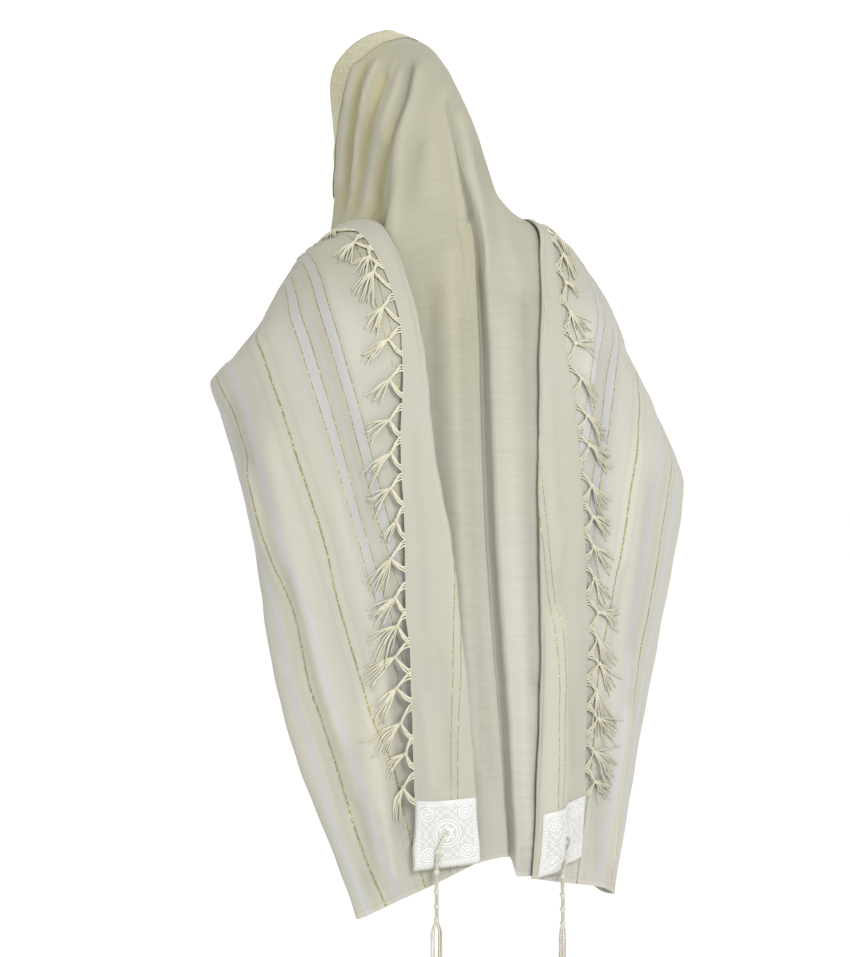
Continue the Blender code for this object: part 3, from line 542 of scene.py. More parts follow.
# The deep pleat's fold: its edge in the picture, and its section, as how far right of the
# edge (laid flat) a point of the cloth is, and where it lies: right of the edge, and out.
PLEAT_EDGE = ((430, 60), (447, 105), (458, 150), (470, 195), (477, 228), (481, 256), (486, 340), (488, 420),
              (492, 533), (498, 620), (505, 713), (510, 806), (516, 880))
PLEAT_SECTION = (
    (-25, -25, 0), (-15, -15, 0.3), (-10, -9.8, 0), (-8, -8, -2.5), (-6, -6.5, -6.5), (-3, -3.4, -8.5),
    (-0.5, -1, -6.5), (1.6, 0.3, -2), (3.6, 0.4, 2.5), (6, 0.9, 6.5), (9, 3, 9.5), (14, 7.5, 10.5),
    (28, 22, 9.5), (80, 80, 0),
)
# Where three lines run on each side, in millimetres from the fringed edge, by distance from the
# top edge: midway between the two wide white stripes, and the two gold ones beyond them.
STRIPE_RUN = {
    1: {0: (160, 240, 316), 480: (163, 246, 340), 580: (165, 250, 355), 642: (162, 246, 338),
        740: (155, 228, 315), 870: (156, 221, 302), 926: (155, 226, 290), 1052: (150, 222, 289),
        1090: (147, 218, 282), 1168: (134, 198, 268), 1248: (126, 188, 253), 1350: (115, 172, 228)},
    -1: {0: (160, 240, 316), 560: (163, 253, 340), 642: (152, 250, 350), 703: (153, 244, 348),
         749: (154, 238, 344), 805: (150, 229, 332), 875: (145, 219, 319), 954: (136, 203, 302),
         1047: (126, 186, 275), 1141: (128, 191, 271), 1224: (129, 193, 270), 1350: (130, 195, 276)},
}
PLEAT_START = (170, 262)     # the picture's heights between which the pleat opens
PLEAT_TOP = 200              # how far down the cloth it may start
PLEAT_HIGHEST = 120          # above this the pleat's line isn't followed
PLEAT_MARGIN = 8             # least distance of the pleat's band from the temples
PLEAT_SAMPLES = 81           # places tried across the back for the pleat's edge
PLEAT_SMOOTHING = 15         # rows that its edge is averaged over
HEM_STEP = 24.0              # how much lower the hem hangs right of the pleat than left of it:
HEM_RAISED = 0.6             # the share of that by which its left is raised,
HEM_STEP_REACH = 55          # how far from the pleat the step reaches,
HEM_STEP_ROWS = (1200, 1350)             # and from where to where down the cloth it comes in

CREASE_FACING = 0.35         # how squarely the cloth must face the camera for a crease's full height
SIDE_FACING = 0.3            # the same, where the side creases give way to the picture's
INNER_FADE = 8               # columns over which the back's creases die away towards the turns
LAYER_FADE = 5               # the same for the wings'
# The cloth's unevenness: height, then the seed, number, shortest and longest of its waves.
SWELLS = ((1.0, 3, 9, 60, 240), (0.22, 5, 12, 18, 50))

STRIPES_WOVEN = (160.0, 240.0, 316.0)    # where the lines of STRIPE_RUN are in the flat cloth
STRIPE_MARGIN = 100.0        # beyond the last of them, where the cloth is no longer stretched
STRIPED = 420.0              # the striped part, from the fringed edge

REST_FACING = 0.6            # a point rests on a surface when its height is this much of its distance
FOLD_REST = 4.1              # from the back's middle to a resting wing's, at the strip's fold
FOLD_DROP = {1: 6.0, -1: 12.0}           # the most that a fold is brought down, on each side
FOLD_EASED = {1: 0.0, -1: 5.5}           # how much less where the wing lies close to the back:
FOLD_TIGHT = (190, 500, 898)             # round these distances from the top edge,
FOLD_TIGHT_REACH = 50                    # and this far from them
FOLD_SMOOTHING = 25          # rows that the drop is averaged over
STRIP_RISE = 6.5             # the most from the wing's middle to the strip's, beside the fold
STRIP_COLUMNS = 16           # columns over which the strip comes down from there
EDGE_REST = 2.3              # from the wing's middle to the fringed edge's
EDGE_SWELL = 0.8             # how much further off a swell of the strip lifts it
EDGE_RISE = {1: 6.0, -1: 3.0}            # how much further off the edges may hang down the back,
EDGE_RISE_ROWS = (620, 780)              # which comes in between these distances from the top edge
RIDGE_KEPT = 0.9             # share of a ridge that the strip keeps when it comes down
FREE = 100                   # how far below the wing a point beside the fold may be left

# Where the shade painted into the cloth's colour changes: down the cloth, and in the picture.
HOOD_ROWS = (400, 280)       # from the back's painted shade to the hood's
LOWER_ROWS = (450, 1050)     # from the upper back's to the lower back's
HOOD_SHADE = (404, 378)      # across the picture, to the hood's left, painted as in shade
SHOULDER_SHADE = (340, 250)  # up the picture, to the wings' shoulders, painted as in shade
STRIP_PAINTED_SHADE = 0.42            # the shade painted on the turned-back strips, between the wings' and the back's
CHANNEL_PLACE = -4.2         # the shade painted into the pleat's dark channel: how far right of the pleat's edge it is,
CHANNEL_SIDES = (6.0, 4.4)   # how far from there its shade reaches, and is full,
CHANNEL_ROWS = (290, 350)    # and where it comes in


def undulation(down, across, seed, waves, shortest, longest):
    """A low uneven swell between about -1 and 1, from waves in every direction."""
    chosen = np.random.default_rng(seed)
    total = np.zeros_like(down)
    for _ in range(waves):
        length = shortest * (longest / shortest) ** chosen.random()
        angle = chosen.normal(0, 0.45)
        phase = chosen.random() * 2 * math.pi
        total += np.sin((across * math.cos(angle) + down * math.sin(angle)) * 2 * math.pi / length + phase)
    return total / math.sqrt(waves)


def rest_on(path, tree, least, most):
    """The path, with each point between two heights over the cloth under it."""
    settled = np.array(path)
    for i, point in enumerate(settled):
        nearest, normal, _, distance = tree.find_nearest(Vector(point), LAYER_REACH)
        if nearest is None:
            continue
        normal = np.array(normal)
        height = float((point - np.array(nearest)) @ normal)
        if abs(height) > REST_FACING * distance:
            settled[i] = point + normal * (np.clip(height, least[i], most[i]) - height)
    return settled


def from_ends(count):
    """For each of so many columns, how many lie between it and the nearer end."""
    return np.minimum(np.arange(count), np.arange(count)[::-1])


class Cloth:
    """The whole cloth as a fine grid of points, with each column's place by its line's name."""

    def __init__(self):
        rows = cloth_rows()
        plain = whole_cloth(rows)
        spine = plain.shape[1] // 2
        middle = slice(spine - LINE["turn in"], spine + LINE["turn in"] + 1)
        draped = folded_cloth(plain, rows)
        draped[:, middle] = plain[:, middle]
        self.v = np.linspace(0, CLOTH_WIDTH, FINE_ROWS + 1)
        coarse = hermite(rows, draped, self.v)
        steps = np.linalg.norm(np.diff(coarse, axis=1), axis=2).mean(axis=0)
        self.knots = np.concatenate(([0.0], np.cumsum(steps)))
        self.knots -= self.knots[spine]
        self.lay_columns(coarse, spine)
        self.points = read_rows(self.knots, coarse, self.where)
        self.measure()
        self.press()
        self.settle_folds()
        self.settle_strips()
        self.normals = outward_normals(self.points)
        self.colour()

    def lay_columns(self, coarse, spine):
        """Where each fine column runs, and which columns are on the named lines."""
        names = [*FINE_STEPS, "fringed edge"]
        outer = {}
        for side in (1, -1):
            ends = [self.knots[spine + side * LINE[name]] for name in names]
            marks = np.cumsum((0, *FINE_STEPS.values()))
            outer[side] = np.interp(range(1, marks[-1] + 1), marks, ends)
        temples = [self.knots[spine + side * LINE["temple"]] for side in (-1, 1)]
        self.edge = self.pleat_place(coarse, temples)
        marks = np.cumsum((0, *CENTRE_STEPS))
        rows = []
        for edge in self.edge:
            band = (temples[0], edge - PLEAT_BAND[1], edge - PLEAT_BAND[0], temples[1])
            rows.append((*outer[-1][::-1], *np.interp(range(marks[-1] + 1), marks, band), *outer[1]))
        self.where = np.array(rows)
        last = self.where.shape[1] - 1
        self.column = {}
        for name, offset in zip(names[::-1], np.cumsum((0, *list(FINE_STEPS.values())[::-1])).tolist()):
            self.column[name, -1] = offset
            self.column[name, 1] = last - offset

    def pleat_place(self, coarse, temples):
        """In each row, how far left of the spine the pleat's edge lies."""
        across = np.linspace(*temples, PLEAT_SAMPLES)
        places = seen_at(read_rows(self.knots, coarse, np.tile(across, (len(coarse), 1))))
        x, y = np.array(PLEAT_EDGE, float).T
        right = places[..., 0] - np.interp(places[..., 1], y, x)
        edge = np.array([np.interp(0.0, -row, across) for row in right])
        head = self.v < PLEAT_HIGHEST
        edge[head] = edge[np.argmin(head)]
        lowest, highest = temples[0] + PLEAT_BAND[1], temples[1] + PLEAT_BAND[0]
        return smoothed(np.clip(edge, lowest + PLEAT_MARGIN, highest - PLEAT_MARGIN), PLEAT_SMOOTHING)

    def stripe_places(self, from_edge):
        """Distances from the fringed edges, stretched so that the stripes run where they show."""
        places = np.empty_like(from_edge)
        drawn = (0.0, *STRIPES_WOVEN, STRIPES_WOVEN[-1] + STRIPE_MARGIN)
        for side, table in STRIPE_RUN.items():
            columns = np.flatnonzero(side * self.left[FINE_ROWS // 2] >= 0)
            for i, line in enumerate(table_rows(table, self.v)):
                shown = (0.0, *line, line[-1] + STRIPE_MARGIN)
                row = from_edge[i, columns]
                places[i, columns] = np.interp(row, shown, drawn) + np.maximum(row - shown[-1], 0)
        return places

    def measure(self):
        """Distances over the cloth: down from the top edge, left of the spine, and from an edge.

        The cut is the distance left of the middle of the flat cloth, by which its stripes are woven.
        """
        total = lengths_across(self.points)
        spine = np.array([np.interp(0.0, where, row) for where, row in zip(self.where, total)])
        self.left = total - spine[:, None]
        self.down = np.broadcast_to(self.v[:, None], self.left.shape)
        from_edge = np.minimum(total, total[:, -1:] - total)
        half = np.where(self.left > 0, self.left[:, -1:], -self.left[:, :1])
        placed = self.stripe_places(from_edge)
        whole = half + (placed - from_edge)
        rest = (HALF_LENGTH - STRIPED) * (whole - placed) / (whole - STRIPED)
        self.cut = np.sign(self.left) * np.where(placed < STRIPED, HALF_LENGTH - placed, rest)

    def part(self, first, last):
        """The columns between two named lines, as a slice."""
        a, b = sorted((self.column[first], self.column[last]))
        return slice(a, b + 1)

    def layers(self):
        """Each layer's columns, and which side of the cloth it shows."""
        found = {"inner": (self.part(("turn in", -1), ("turn in", 1)), 1)}
        for side, name in ((1, "left"), (-1, "right")):
            found["wing " + name] = (self.part(("turn out", side), ("strip in", side)), -1)
            found["strip " + name] = (self.part(("strip out", side), ("fringed edge", side)), 1)
        return found

    def press(self):
        """Presses in the folds, the creases and the pleat."""
        normals = outward_normals(self.points)
        towards_camera = normals @ TO_CAMERA
        places = np.stack((self.down, self.left), -1)
        seen = seen_at(self.points)
        inner, _ = self.layers()["inner"]
        self.single = np.zeros(self.where.shape[1])
        self.single[inner] = smooth_step(from_ends(inner.stop - inner.start) / INNER_FADE)
        height = sum(fold_height(places, *fold) for fold in BLADE_FOLDS) * self.single
        self.pressed_in = np.zeros_like(self.left)
        for name, (columns, shown) in self.layers().items():
            pressed = sum(fold_height(seen[:, columns], *crease, CREASE) for crease in CREASES[name])
            pressed *= smooth_step(shown * towards_camera[:, columns] / CREASE_FACING)
            if "strip" not in name:
                pressed *= smooth_step(from_ends(columns.stop - columns.start) / LAYER_FADE)
            height[:, columns] += shown * pressed
            self.pressed_in[:, columns] += pressed
        hidden = 1 - smooth_step(towards_camera / SIDE_FACING + SIDE_FACING)
        height += sum(fold_height(places, *crease, CREASE) for crease in SIDE_CREASES) * hidden * self.single
        for swell in SWELLS:
            height += swell[0] * undulation(self.down, self.left, *swell[1:])
        self.points = self.points + normals * height[..., None] + self.pleat(normals)

    def pleat(self, normals):
        """How far the deep pleat moves each point."""
        flat, right, out = np.array(PLEAT_SECTION, float).T
        s = self.edge[:, None] - self.where
        inside = (s > flat[0]) & (s < flat[-1])
        curve = hermite(flat, np.stack((right, out), -1), np.clip(s, flat[0], flat[-1]).ravel())
        right, out = np.moveaxis(curve.reshape(*s.shape, 2)[..., None], -2, 0)
        opened = rising(seen_at(self.points)[..., 1], *PLEAT_START) * (self.down > PLEAT_TOP) * inside
        across = unit(np.gradient(self.points, axis=1))
        down = unit(np.gradient(self.points, axis=0))
        moved = (normals * out - across * (right - s[..., None])) * opened[..., None]
        lowered = HEM_STEP * (rising(s, 0, 10) - HEM_RAISED) * np.exp(-(s / HEM_STEP_REACH) ** 2)
        return moved + down * (lowered * rising(self.down, *HEM_STEP_ROWS))[..., None]

    def settle_folds(self):
        """Brings the folds of the turned-back strips down on the back."""
        inner = tree_of(self.points[:, self.part(("turn", -1), ("turn", 1))])
        for side in (1, -1):
            strip_in = self.column["strip in", side]
            line = self.points[:, strip_in]
            moved = rest_on(line, inner, np.zeros(len(line)), np.full(len(line), FOLD_REST)) - line
            tight = sum(np.exp(-((self.v - place) / FOLD_TIGHT_REACH) ** 2) for place in FOLD_TIGHT)
            most = FOLD_DROP[side] - FOLD_EASED[side] * tight
            moved *= np.minimum(1, most / np.maximum(np.linalg.norm(moved, axis=1), 0.01))[:, None]
            start = (self.column["blade", side] + strip_in) / 2
            share = smooth_step((np.arange(self.points.shape[1]) - start) / (strip_in - start))
            self.points += smoothed(moved, FOLD_SMOOTHING)[:, None] * share[:, None]

    def settle_strips(self):
        """Brings the turned-back strips down on the wings, closest along their fringed edges."""
        for side in (1, -1):
            wing = self.points[:, self.part(("turn out", side), ("strip in", side))]
            first, last = self.column["strip fold", side], self.column["fringed edge", side]
            columns = np.arange(first, last + side, side)
            strip, down = self.points[:, columns], self.down[:, columns]
            share = smooth_step(np.arange(len(columns)) / STRIP_COLUMNS)
            swell = np.clip(1 + undulation(down, self.left[:, columns], 7 + side, 6, 50, 160), 0, 2)
            most = STRIP_RISE * (1 - share) + (EDGE_REST + EDGE_SWELL * swell) * share
            most += np.maximum(self.pressed_in[:, columns], 0) * RIDGE_KEPT
            most += EDGE_RISE[side] * share * rising(down, *EDGE_RISE_ROWS)
            least = np.full(most.shape, EDGE_REST) * share - FREE * (share < 0.5)
            rested = rest_on(strip.reshape(-1, 3), tree_of(wing[:, ::-1]), least.ravel(), most.ravel())
            self.points[:, columns] = strip + spread(spread(rested.reshape(strip.shape) - strip))

    def colour(self):
        """The shade painted into the cloth at each point: the amount that picks its shaded tint, and the
        darkening painted into its creases and the pleat's channel.
        """
        x, y = np.moveaxis(seen_at(self.points), -1, 0)
        s = self.edge[:, None] - self.where
        hood = rising(self.down, *HOOD_ROWS)
        lower = rising(self.down, *LOWER_ROWS)
        creased = -self.pressed_in
        # The hood's left is painted as in shade, darker still in its creases.
        hood_left = rising(x, *HOOD_SHADE) * (0.55 + 0.9 * np.clip(creased / 5, -0.7, 1.3))
        # The back, a single layer, is painted as in shade, more on its upper part and left of the pleat.
        back = 0.75 - 0.65 * lower + 0.25 * rising(s, 0, -12)
        # The wings' shoulders and the whole left wing are painted as in shade.
        wing = 0.45 * rising(y, *SHOULDER_SHADE) + 0.3 * (self.left > 0)
        single = self.single
        self.tone = (back * (1 - hood) + (0.9 + hood_left) * hood) * single + wing * (1 - single)
        # The turned-back strips get one amount of painted shade.
        for side in (1, -1):
            self.tone[:, self.part(("strip in", side), ("fringed edge", side))] = STRIP_PAINTED_SHADE
        # Painted shade: darker in the creases and in the pleat's channel.
        channel = rising(np.abs(s - CHANNEL_PLACE), *CHANNEL_SIDES) * rising(self.down, *CHANNEL_ROWS)
        self.shade = 1 - 0.10 * np.clip(creased / 6, -1.0, 1.0) - (0.25 - 0.12 * lower) * channel * single


# ---------------------------------------------------------------- meshes

def add_mesh(name, points, faces, material, uv, corner_normals=None, values=None):
    """One piece, moved from the working frame into the part's frame, in metres."""
    mesh = bpy.data.meshes.new(name)
    mesh.from_pydata(in_frame(points), [], faces)
    mesh.shade_smooth()
    corners = np.empty(len(mesh.loops), np.int32)
    mesh.loops.foreach_get("vertex_index", corners)
    layer = mesh.uv_layers.new(name="cloth")
    layer.data.foreach_set("uv", np.asarray(uv, np.float32)[corners].ravel())
    for label, numbers in (values or {}).items():
        attribute = mesh.attributes.new(label, "FLOAT", "POINT")
        attribute.data.foreach_set("value", np.asarray(numbers, np.float32))
    if corner_normals is not None:
        mesh.normals_split_custom_set(corner_normals)
    mesh.materials.append(material)
    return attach(add_to_scene(name, mesh), "root")


def shell(name, grid, normals, wall, material, uv, values=None):
    """A thin wall about a grid of points, whose rims are cut square."""
    rows, columns = grid.shape[:2]
    half = np.broadcast_to(np.asarray(wall, float), grid.shape[:2])[..., None] / 2
    points = np.concatenate(((grid + normals * half).reshape(-1, 3), (grid - normals * half).reshape(-1, 3)))
    index = np.arange(rows * columns).reshape(rows, columns)
    rim = np.concatenate((index[0], index[1:, -1], index[-1, -2::-1], index[-2:0:-1, 0]))
    after = np.roll(rim, -1)
    quads = np.array(faces_of(rows, columns))
    sides = np.stack((rim, rim + index.size, after + index.size, after), axis=1)
    flat = normals.reshape(-1, 3)
    ends = points[sides]
    side_normals = unit(np.cross(ends[:, 1] - ends[:, 0], ends[:, 2] - ends[:, 0]))
    faces = np.concatenate((quads, quads[:, ::-1] + index.size, sides))
    corner_normals = np.concatenate((flat[quads].reshape(-1, 3), -flat[quads[:, ::-1]].reshape(-1, 3),
                                     np.repeat(side_normals, 4, axis=0)))
    uv = np.tile(np.reshape(uv, (-1, 2)), (2, 1))
    values = {label: np.tile(numbers.ravel(), 2) for label, numbers in (values or {}).items()}
    return add_mesh(name, points, faces.tolist(), material, uv, corner_normals, values)


# ---------------------------------------------------------------- materials

class Value:
    """What a node puts out.  Arithmetic on it adds Math nodes."""

    def __init__(self, look, socket):
        self.look, self.socket = look, socket

    def __rsub__(self, other):
        return self.look.math("SUBTRACT", other, self)

    def near(self, middle, width):
        """1 in a line of this width about the middle value, and 0 elsewhere."""
        return self.look.math("COMPARE", self, middle, width / 2)


def node_arithmetic(operation):
    return lambda value, *others: value.look.math(operation, value, *others)


for method, operation in (("add", "ADD"), ("sub", "SUBTRACT"), ("mul", "MULTIPLY"), ("abs", "ABSOLUTE"),
                          ("lt", "LESS_THAN"), ("gt", "GREATER_THAN")):
    setattr(Value, f"__{method}__", node_arithmetic(operation))


def most(*masks):
    """The highest of several values, pair by pair."""
    total = masks[0]
    for mask in masks[1:]:
        total = total.look.math("MAXIMUM", total, mask)
    return total


class Look:
    """A material built from nodes round one Principled shader."""

    def __init__(self, name, specular=None, **constants):
        self.material = bpy.data.materials.new(name)
        self.material.use_nodes = True
        self.nodes = self.material.node_tree.nodes
        self.links = self.material.node_tree.links
        self.shader = self.nodes["Principled BSDF"]
        for socket, value in constants.items():
            self.shader.inputs[socket.replace("_", " ")].default_value = value
        if specular is not None:
            self.shader.inputs["Specular IOR Level"].default_value = specular
            self.uv = self.node("UVMap", uv_map="cloth")
            self.x, self.y = self.axes(self.uv)

    def node(self, kind, inputs=(), output=0, **settings):
        made = self.nodes.new("ShaderNode" + kind)
        for key, value in settings.items():
            setattr(made, key, value)
        for key, value in dict(inputs).items():
            if isinstance(value, Value):
                self.links.new(value.socket, made.inputs[key])
            else:
                made.inputs[key].default_value = value
        return Value(self, made.outputs[output])

    def axes(self, vector):
        return [self.node("SeparateXYZ", {0: vector}, output=k) for k in (0, 1)]

    def math(self, operation, *values, clamp=False):
        return self.node("Math", dict(enumerate(values)), operation=operation, use_clamp=clamp)

    def mix(self, factor, a, b, blend="MIX"):
        return self.node("Mix", {0: factor, 6: a, 7: b}, output=2, data_type="RGBA", blend_type=blend)

    def noise(self, x, y, detail=2.0, roughness=0.5):
        """Noise over the cloth, with so many cells to a metre along and down it."""
        return self.node("TexNoise", {"Vector": self.stretched(self.uv, x, y), "Scale": 1.0, "Detail": detail,
                                      "Roughness": roughness})

    def stretched(self, vector, x, y):
        return self.node("VectorMath", {0: vector, 1: (x, y, 1.0)}, operation="MULTIPLY")

    def ramp(self, factor, *stops, interpolation="LINEAR"):
        made = self.node("ValToRGB", {0: factor})
        ramp = made.socket.node.color_ramp
        ramp.interpolation = interpolation
        while len(ramp.elements) < len(stops):
            ramp.elements.new(1.0)
        for element, (position, value) in zip(ramp.elements, stops):
            element.position = position
            element.color = (*value, 1.0) if hasattr(value, "__len__") else (value, value, value, 1.0)
        return made

    def set(self, **values):
        for socket, value in values.items():
            self.links.new(value.socket, self.shader.inputs[socket.replace("_", " ")])

    def bump(self, height, distance, strength):
        return self.node("Bump", {"Height": height, "Distance": distance, "Strength": strength})


STRIPE_REACH = 0.40
# Stripes parallel to the fringed edges: middle and width, in millimetres from the edge.
GOLD_STRIPES = ((67, 1.6), (78, 1.6), (136.5, 1.2), (150.5, 1.4), (173, 1.4), (187, 1.4), (240, 2.6),
                (316, 3.0))
WHITE_STRIPES = ((130, 1.6), (143.5, 12), (162, 1.4), (166, 1.2), (180, 12), (195, 1.4), (199, 1.4),
                 (290, 10), (341, 10))
BEIGE_STRIPES = ((133, 5), (162, 22), (193, 9), (226, 6), (254, 6), (304, 8), (328, 8))
WOOL = (0.348, 0.339, 0.304)
SATIN = (0.335, 0.336, 0.342)
BEIGE = (0.310, 0.297, 0.248)
# Lurex gold: dull cells that vary, and in the brightest cells a painted glint.
LUREX_AND_GLINTS = ((0.0, (0.150, 0.135, 0.045)), (0.45, (0.205, 0.185, 0.080)), (0.8, (0.27, 0.25, 0.13)),
         (0.94, (0.60, 0.56, 0.36)))
# The tints that paint shade into the wool, by half the amount of painted shade: in the light, on the back,
# and deep in the hood.
PAINTED_SHADE_TINTS = ((0.0, (1.0, 1.0, 1.0)), (0.45, (0.75, 0.745, 0.655)), (0.95, (0.88, 0.83, 0.57)))
HEM_REACH = 0.010            # the turned hem, and the row of stitches along it
HEM_TINTS = ((0.0, (1.05, 1.05, 1.05)), (0.72, (0.84, 0.83, 0.80)), (0.81, (1.0, 1.0, 1.0)))
CLOUD_TINTS = ((0.35, (0.98, 0.99, 0.99)), (0.65, (1.01, 1.0, 0.98)))
WEAVE_PITCH = 0.0009         # between the threads of the plain weave


def scaled(colour, factor):
    return tuple(channel * factor for channel in colour)


def cloth_look():
    look = Look("tallit_wool", 0.2, Roughness=0.85, Sheen_Weight=0.12, Sheen_Roughness=0.5,
                Sheen_Tint=(1.0, 0.98, 0.92, 1.0))
    from_edge = HALF_LENGTH * MM - abs(look.x)
    place = look.math("DIVIDE", from_edge, STRIPE_REACH, clamp=True)

    def mask(stripes):
        """1 on these stripes, and 0 between them."""
        stops = [(0.0, 0.0)]
        for middle, width in stripes:
            for end, value in ((-1, 1.0), (1, 0.0)):
                stops.append(((middle + width * end / 2) * MM / STRIPE_REACH, value))
        return look.ramp(place, *stops, interpolation="CONSTANT")

    gold, white, beige = mask(GOLD_STRIPES), mask(WHITE_STRIPES), mask(BEIGE_STRIPES)
    # Slubs run across the cloth, more of them in its plain middle, and threads run down it.
    plain = look.node("MapRange", {0: from_edge, 1: 0.36, 2: 0.52, 3: 0.25, 4: 1.0})
    slubs = look.noise(16.0, 520.0, 3.0, 0.6) * 0.6 + look.noise(7.0, 170.0) * 0.4
    slubs = (slubs - 0.5) * plain + 0.5
    threads = look.noise(700.0, 7.0)
    wool = look.ramp(slubs, (0.36, scaled(WOOL, 0.95)), (0.5, WOOL), (0.66, scaled(WOOL, 1.035)))
    wool = look.mix(threads * 0.16, wool, (*scaled(WOOL, 1.12), 1.0))
    wool = look.mix(1.0, wool, look.ramp(look.noise(7.0, 5.0), *CLOUD_TINTS), "MULTIPLY")
    wool = look.mix(beige * 0.35, wool, (*BEIGE, 1.0))
    wool = look.mix(white, wool, look.ramp(threads, (0.3, scaled(SATIN, 0.95)), (0.7, scaled(SATIN, 1.05))))
    from_hem = look.math("MINIMUM", look.y, CLOTH_WIDTH * MM - look.y)
    from_hem = look.math("DIVIDE", from_hem, HEM_REACH, clamp=True)
    wool = look.mix(1.0, wool, look.ramp(from_hem, *HEM_TINTS, interpolation="CONSTANT"), "MULTIPLY")
    # Lurex cells, the brightest of them a painted glint, shown on the gold stripes.
    cells = look.node("VectorMath", {0: look.stretched(look.uv, 1100.0, 800.0)}, operation="FLOOR")
    lurex_and_glints = look.ramp(look.node("TexWhiteNoise", {"Vector": cells}, noise_dimensions="2D"), *LUREX_AND_GLINTS)
    # The painted shade: a tint picked by one attribute, then a darkening by another.
    tone, shade = (look.node("Attribute", output=2, attribute_name=name) for name in ("tone", "shade"))
    painted_shade_tint = look.ramp(look.math("MULTIPLY", tone, 0.5, clamp=True), *PAINTED_SHADE_TINTS)
    colour = look.mix(1.0, look.mix(gold * 0.85, wool, lurex_and_glints), painted_shade_tint, "MULTIPLY")
    x, y = look.axes(look.stretched(look.uv, math.pi / WEAVE_PITCH, math.pi / WEAVE_PITCH))
    weave = look.math("SINE", x) * look.math("SINE", y)
    look.set(Base_Color=look.node("VectorMath", {0: colour, 3: shade}, operation="SCALE"),
             Metallic=gold * 0.4, Roughness=0.85 - white * 0.28 - gold * 0.42,
             Normal=look.bump(weave * 0.45 + slubs * 0.8, 0.00022, 0.7))
    return look.material


def brocade_look():
    """Woven diamonds in diamonds between two zigzag borders, in one cream on another."""
    look = Look("brocade", 0.35, Roughness=0.62, Sheen_Weight=0.2, Sheen_Tint=(1.0, 0.98, 0.88, 1.0))
    x, y = look.x, look.y
    tall = ATARAH_WIDTH * MM

    def wave(value, pitch):
        """0 in the middle of each repeat and 1 at its ends."""
        return look.math("PINGPONG", value, pitch / 2) * (2 / pitch)

    diamond = wave(x, 0.034) + wave(y - tall * 0.5, 0.040)
    rings = most(diamond.near(1.0, 0.16), most(diamond.near(0.55, 0.14), diamond.near(1.5, 0.16)))
    core = most(diamond < 0.22, diamond > 1.80)
    zigzag = y - wave(x, 0.009) * 0.0045
    border = most(zigzag.near(0.0065, 0.0017), zigzag.near(tall - 0.0110, 0.0017))
    edges = most(y.near(0.0125, 0.0012), y.near(tall - 0.0130, 0.0012))
    inside = y.near(tall / 2, tall - 0.0290)
    pattern = most(most(rings, core) * inside, most(border, edges))
    threads = look.noise(500.0, 1300.0)
    ground = look.ramp(threads, (0.3, (0.275, 0.258, 0.150)), (0.7, (0.315, 0.298, 0.185)))
    raised = look.ramp(threads, (0.3, (0.375, 0.36, 0.24)), (0.7, (0.43, 0.415, 0.29)))
    look.set(Base_Color=look.mix(pattern, ground, raised), Roughness=0.70 - pattern * 0.25,
             Normal=look.bump(pattern + threads * 0.5, 0.00035, 0.9))
    return look.material


def satin_look():
    """White damask: a star in rings, and corner rings, in a zigzag frame."""
    look = Look("satin_square", 0.6, Roughness=0.45, Sheen_Weight=0.1)
    x, y = look.x, look.y
    absolute = [abs(value) for value in (x, y)]

    def radius(a, b):
        return look.math("SQRT", a * a + b * b)

    def triangle(up):
        """The outline of one triangle of the star."""
        turns = [math.radians(degrees) for degrees in (90, 210, 330)]
        return most(*(x * -math.cos(turn) + y * (-math.sin(turn) * up) for turn in turns)).near(0.125, 0.030)

    # The middle of the square is 0, and its sides are at 1.
    star = most(triangle(1), triangle(-1))
    centre = radius(x, y)
    rings = most(centre.near(0.33, 0.030), centre.near(0.42, 0.022))
    corner = radius(*(value - 0.60 for value in absolute))
    corner_rings = most(corner.near(0.19, 0.026), corner.near(0.11, 0.022), corner < 0.045)
    outer = most(*absolute)
    frame_line = outer + look.math("PINGPONG", x + y, 0.055)
    between = [look.math("PINGPONG", value + 0.06, 0.12) for value in absolute]
    lattice = (between[0] + between[1]).near(0.12, 0.022)
    field = (outer < 0.80) * (centre > 0.50) * (corner > 0.26)
    pattern = most(star, rings, corner_rings, frame_line.near(0.92, 0.026), frame_line.near(0.98, 0.020),
                   outer.near(0.84, 0.016), lattice * field)
    threads = look.noise(60.0, 14.0)
    ground = look.ramp(threads, (0.3, (0.36, 0.362, 0.352)), (0.7, (0.41, 0.412, 0.402)))
    look.set(Base_Color=look.mix(pattern, ground, (0.62, 0.62, 0.62, 1.0)), Roughness=0.48 - pattern * 0.22,
             Normal=look.bump(pattern + threads * 0.25, 0.0004, 0.8))
    return look.material


def yarn_look(name, dark, light, pitch):
    """Plied yarn: x runs once round a strand and y along it, in metres."""
    look = Look(name, 0.2, Roughness=0.85, Sheen_Weight=0.3, Sheen_Tint=(1.0, 0.98, 0.9, 1.0))
    ply = look.math("SINE", look.x * (4 * math.pi) + look.y * (2 * math.pi / pitch))
    fibres = look.noise(6.0, 2200.0, 3.0)
    look.set(Base_Color=look.ramp(fibres, (0.3, dark), (0.7, light)),
             Normal=look.bump(ply + fibres * 0.8, 0.00025, 0.8))
    return look.material


# ---------------------------------------------------------------- yarn

def circling(turn, a, b):
    """Points on a circle about 0, at these angles from a towards b."""
    return np.cos(turn)[:, None] * a + np.sin(turn)[:, None] * b


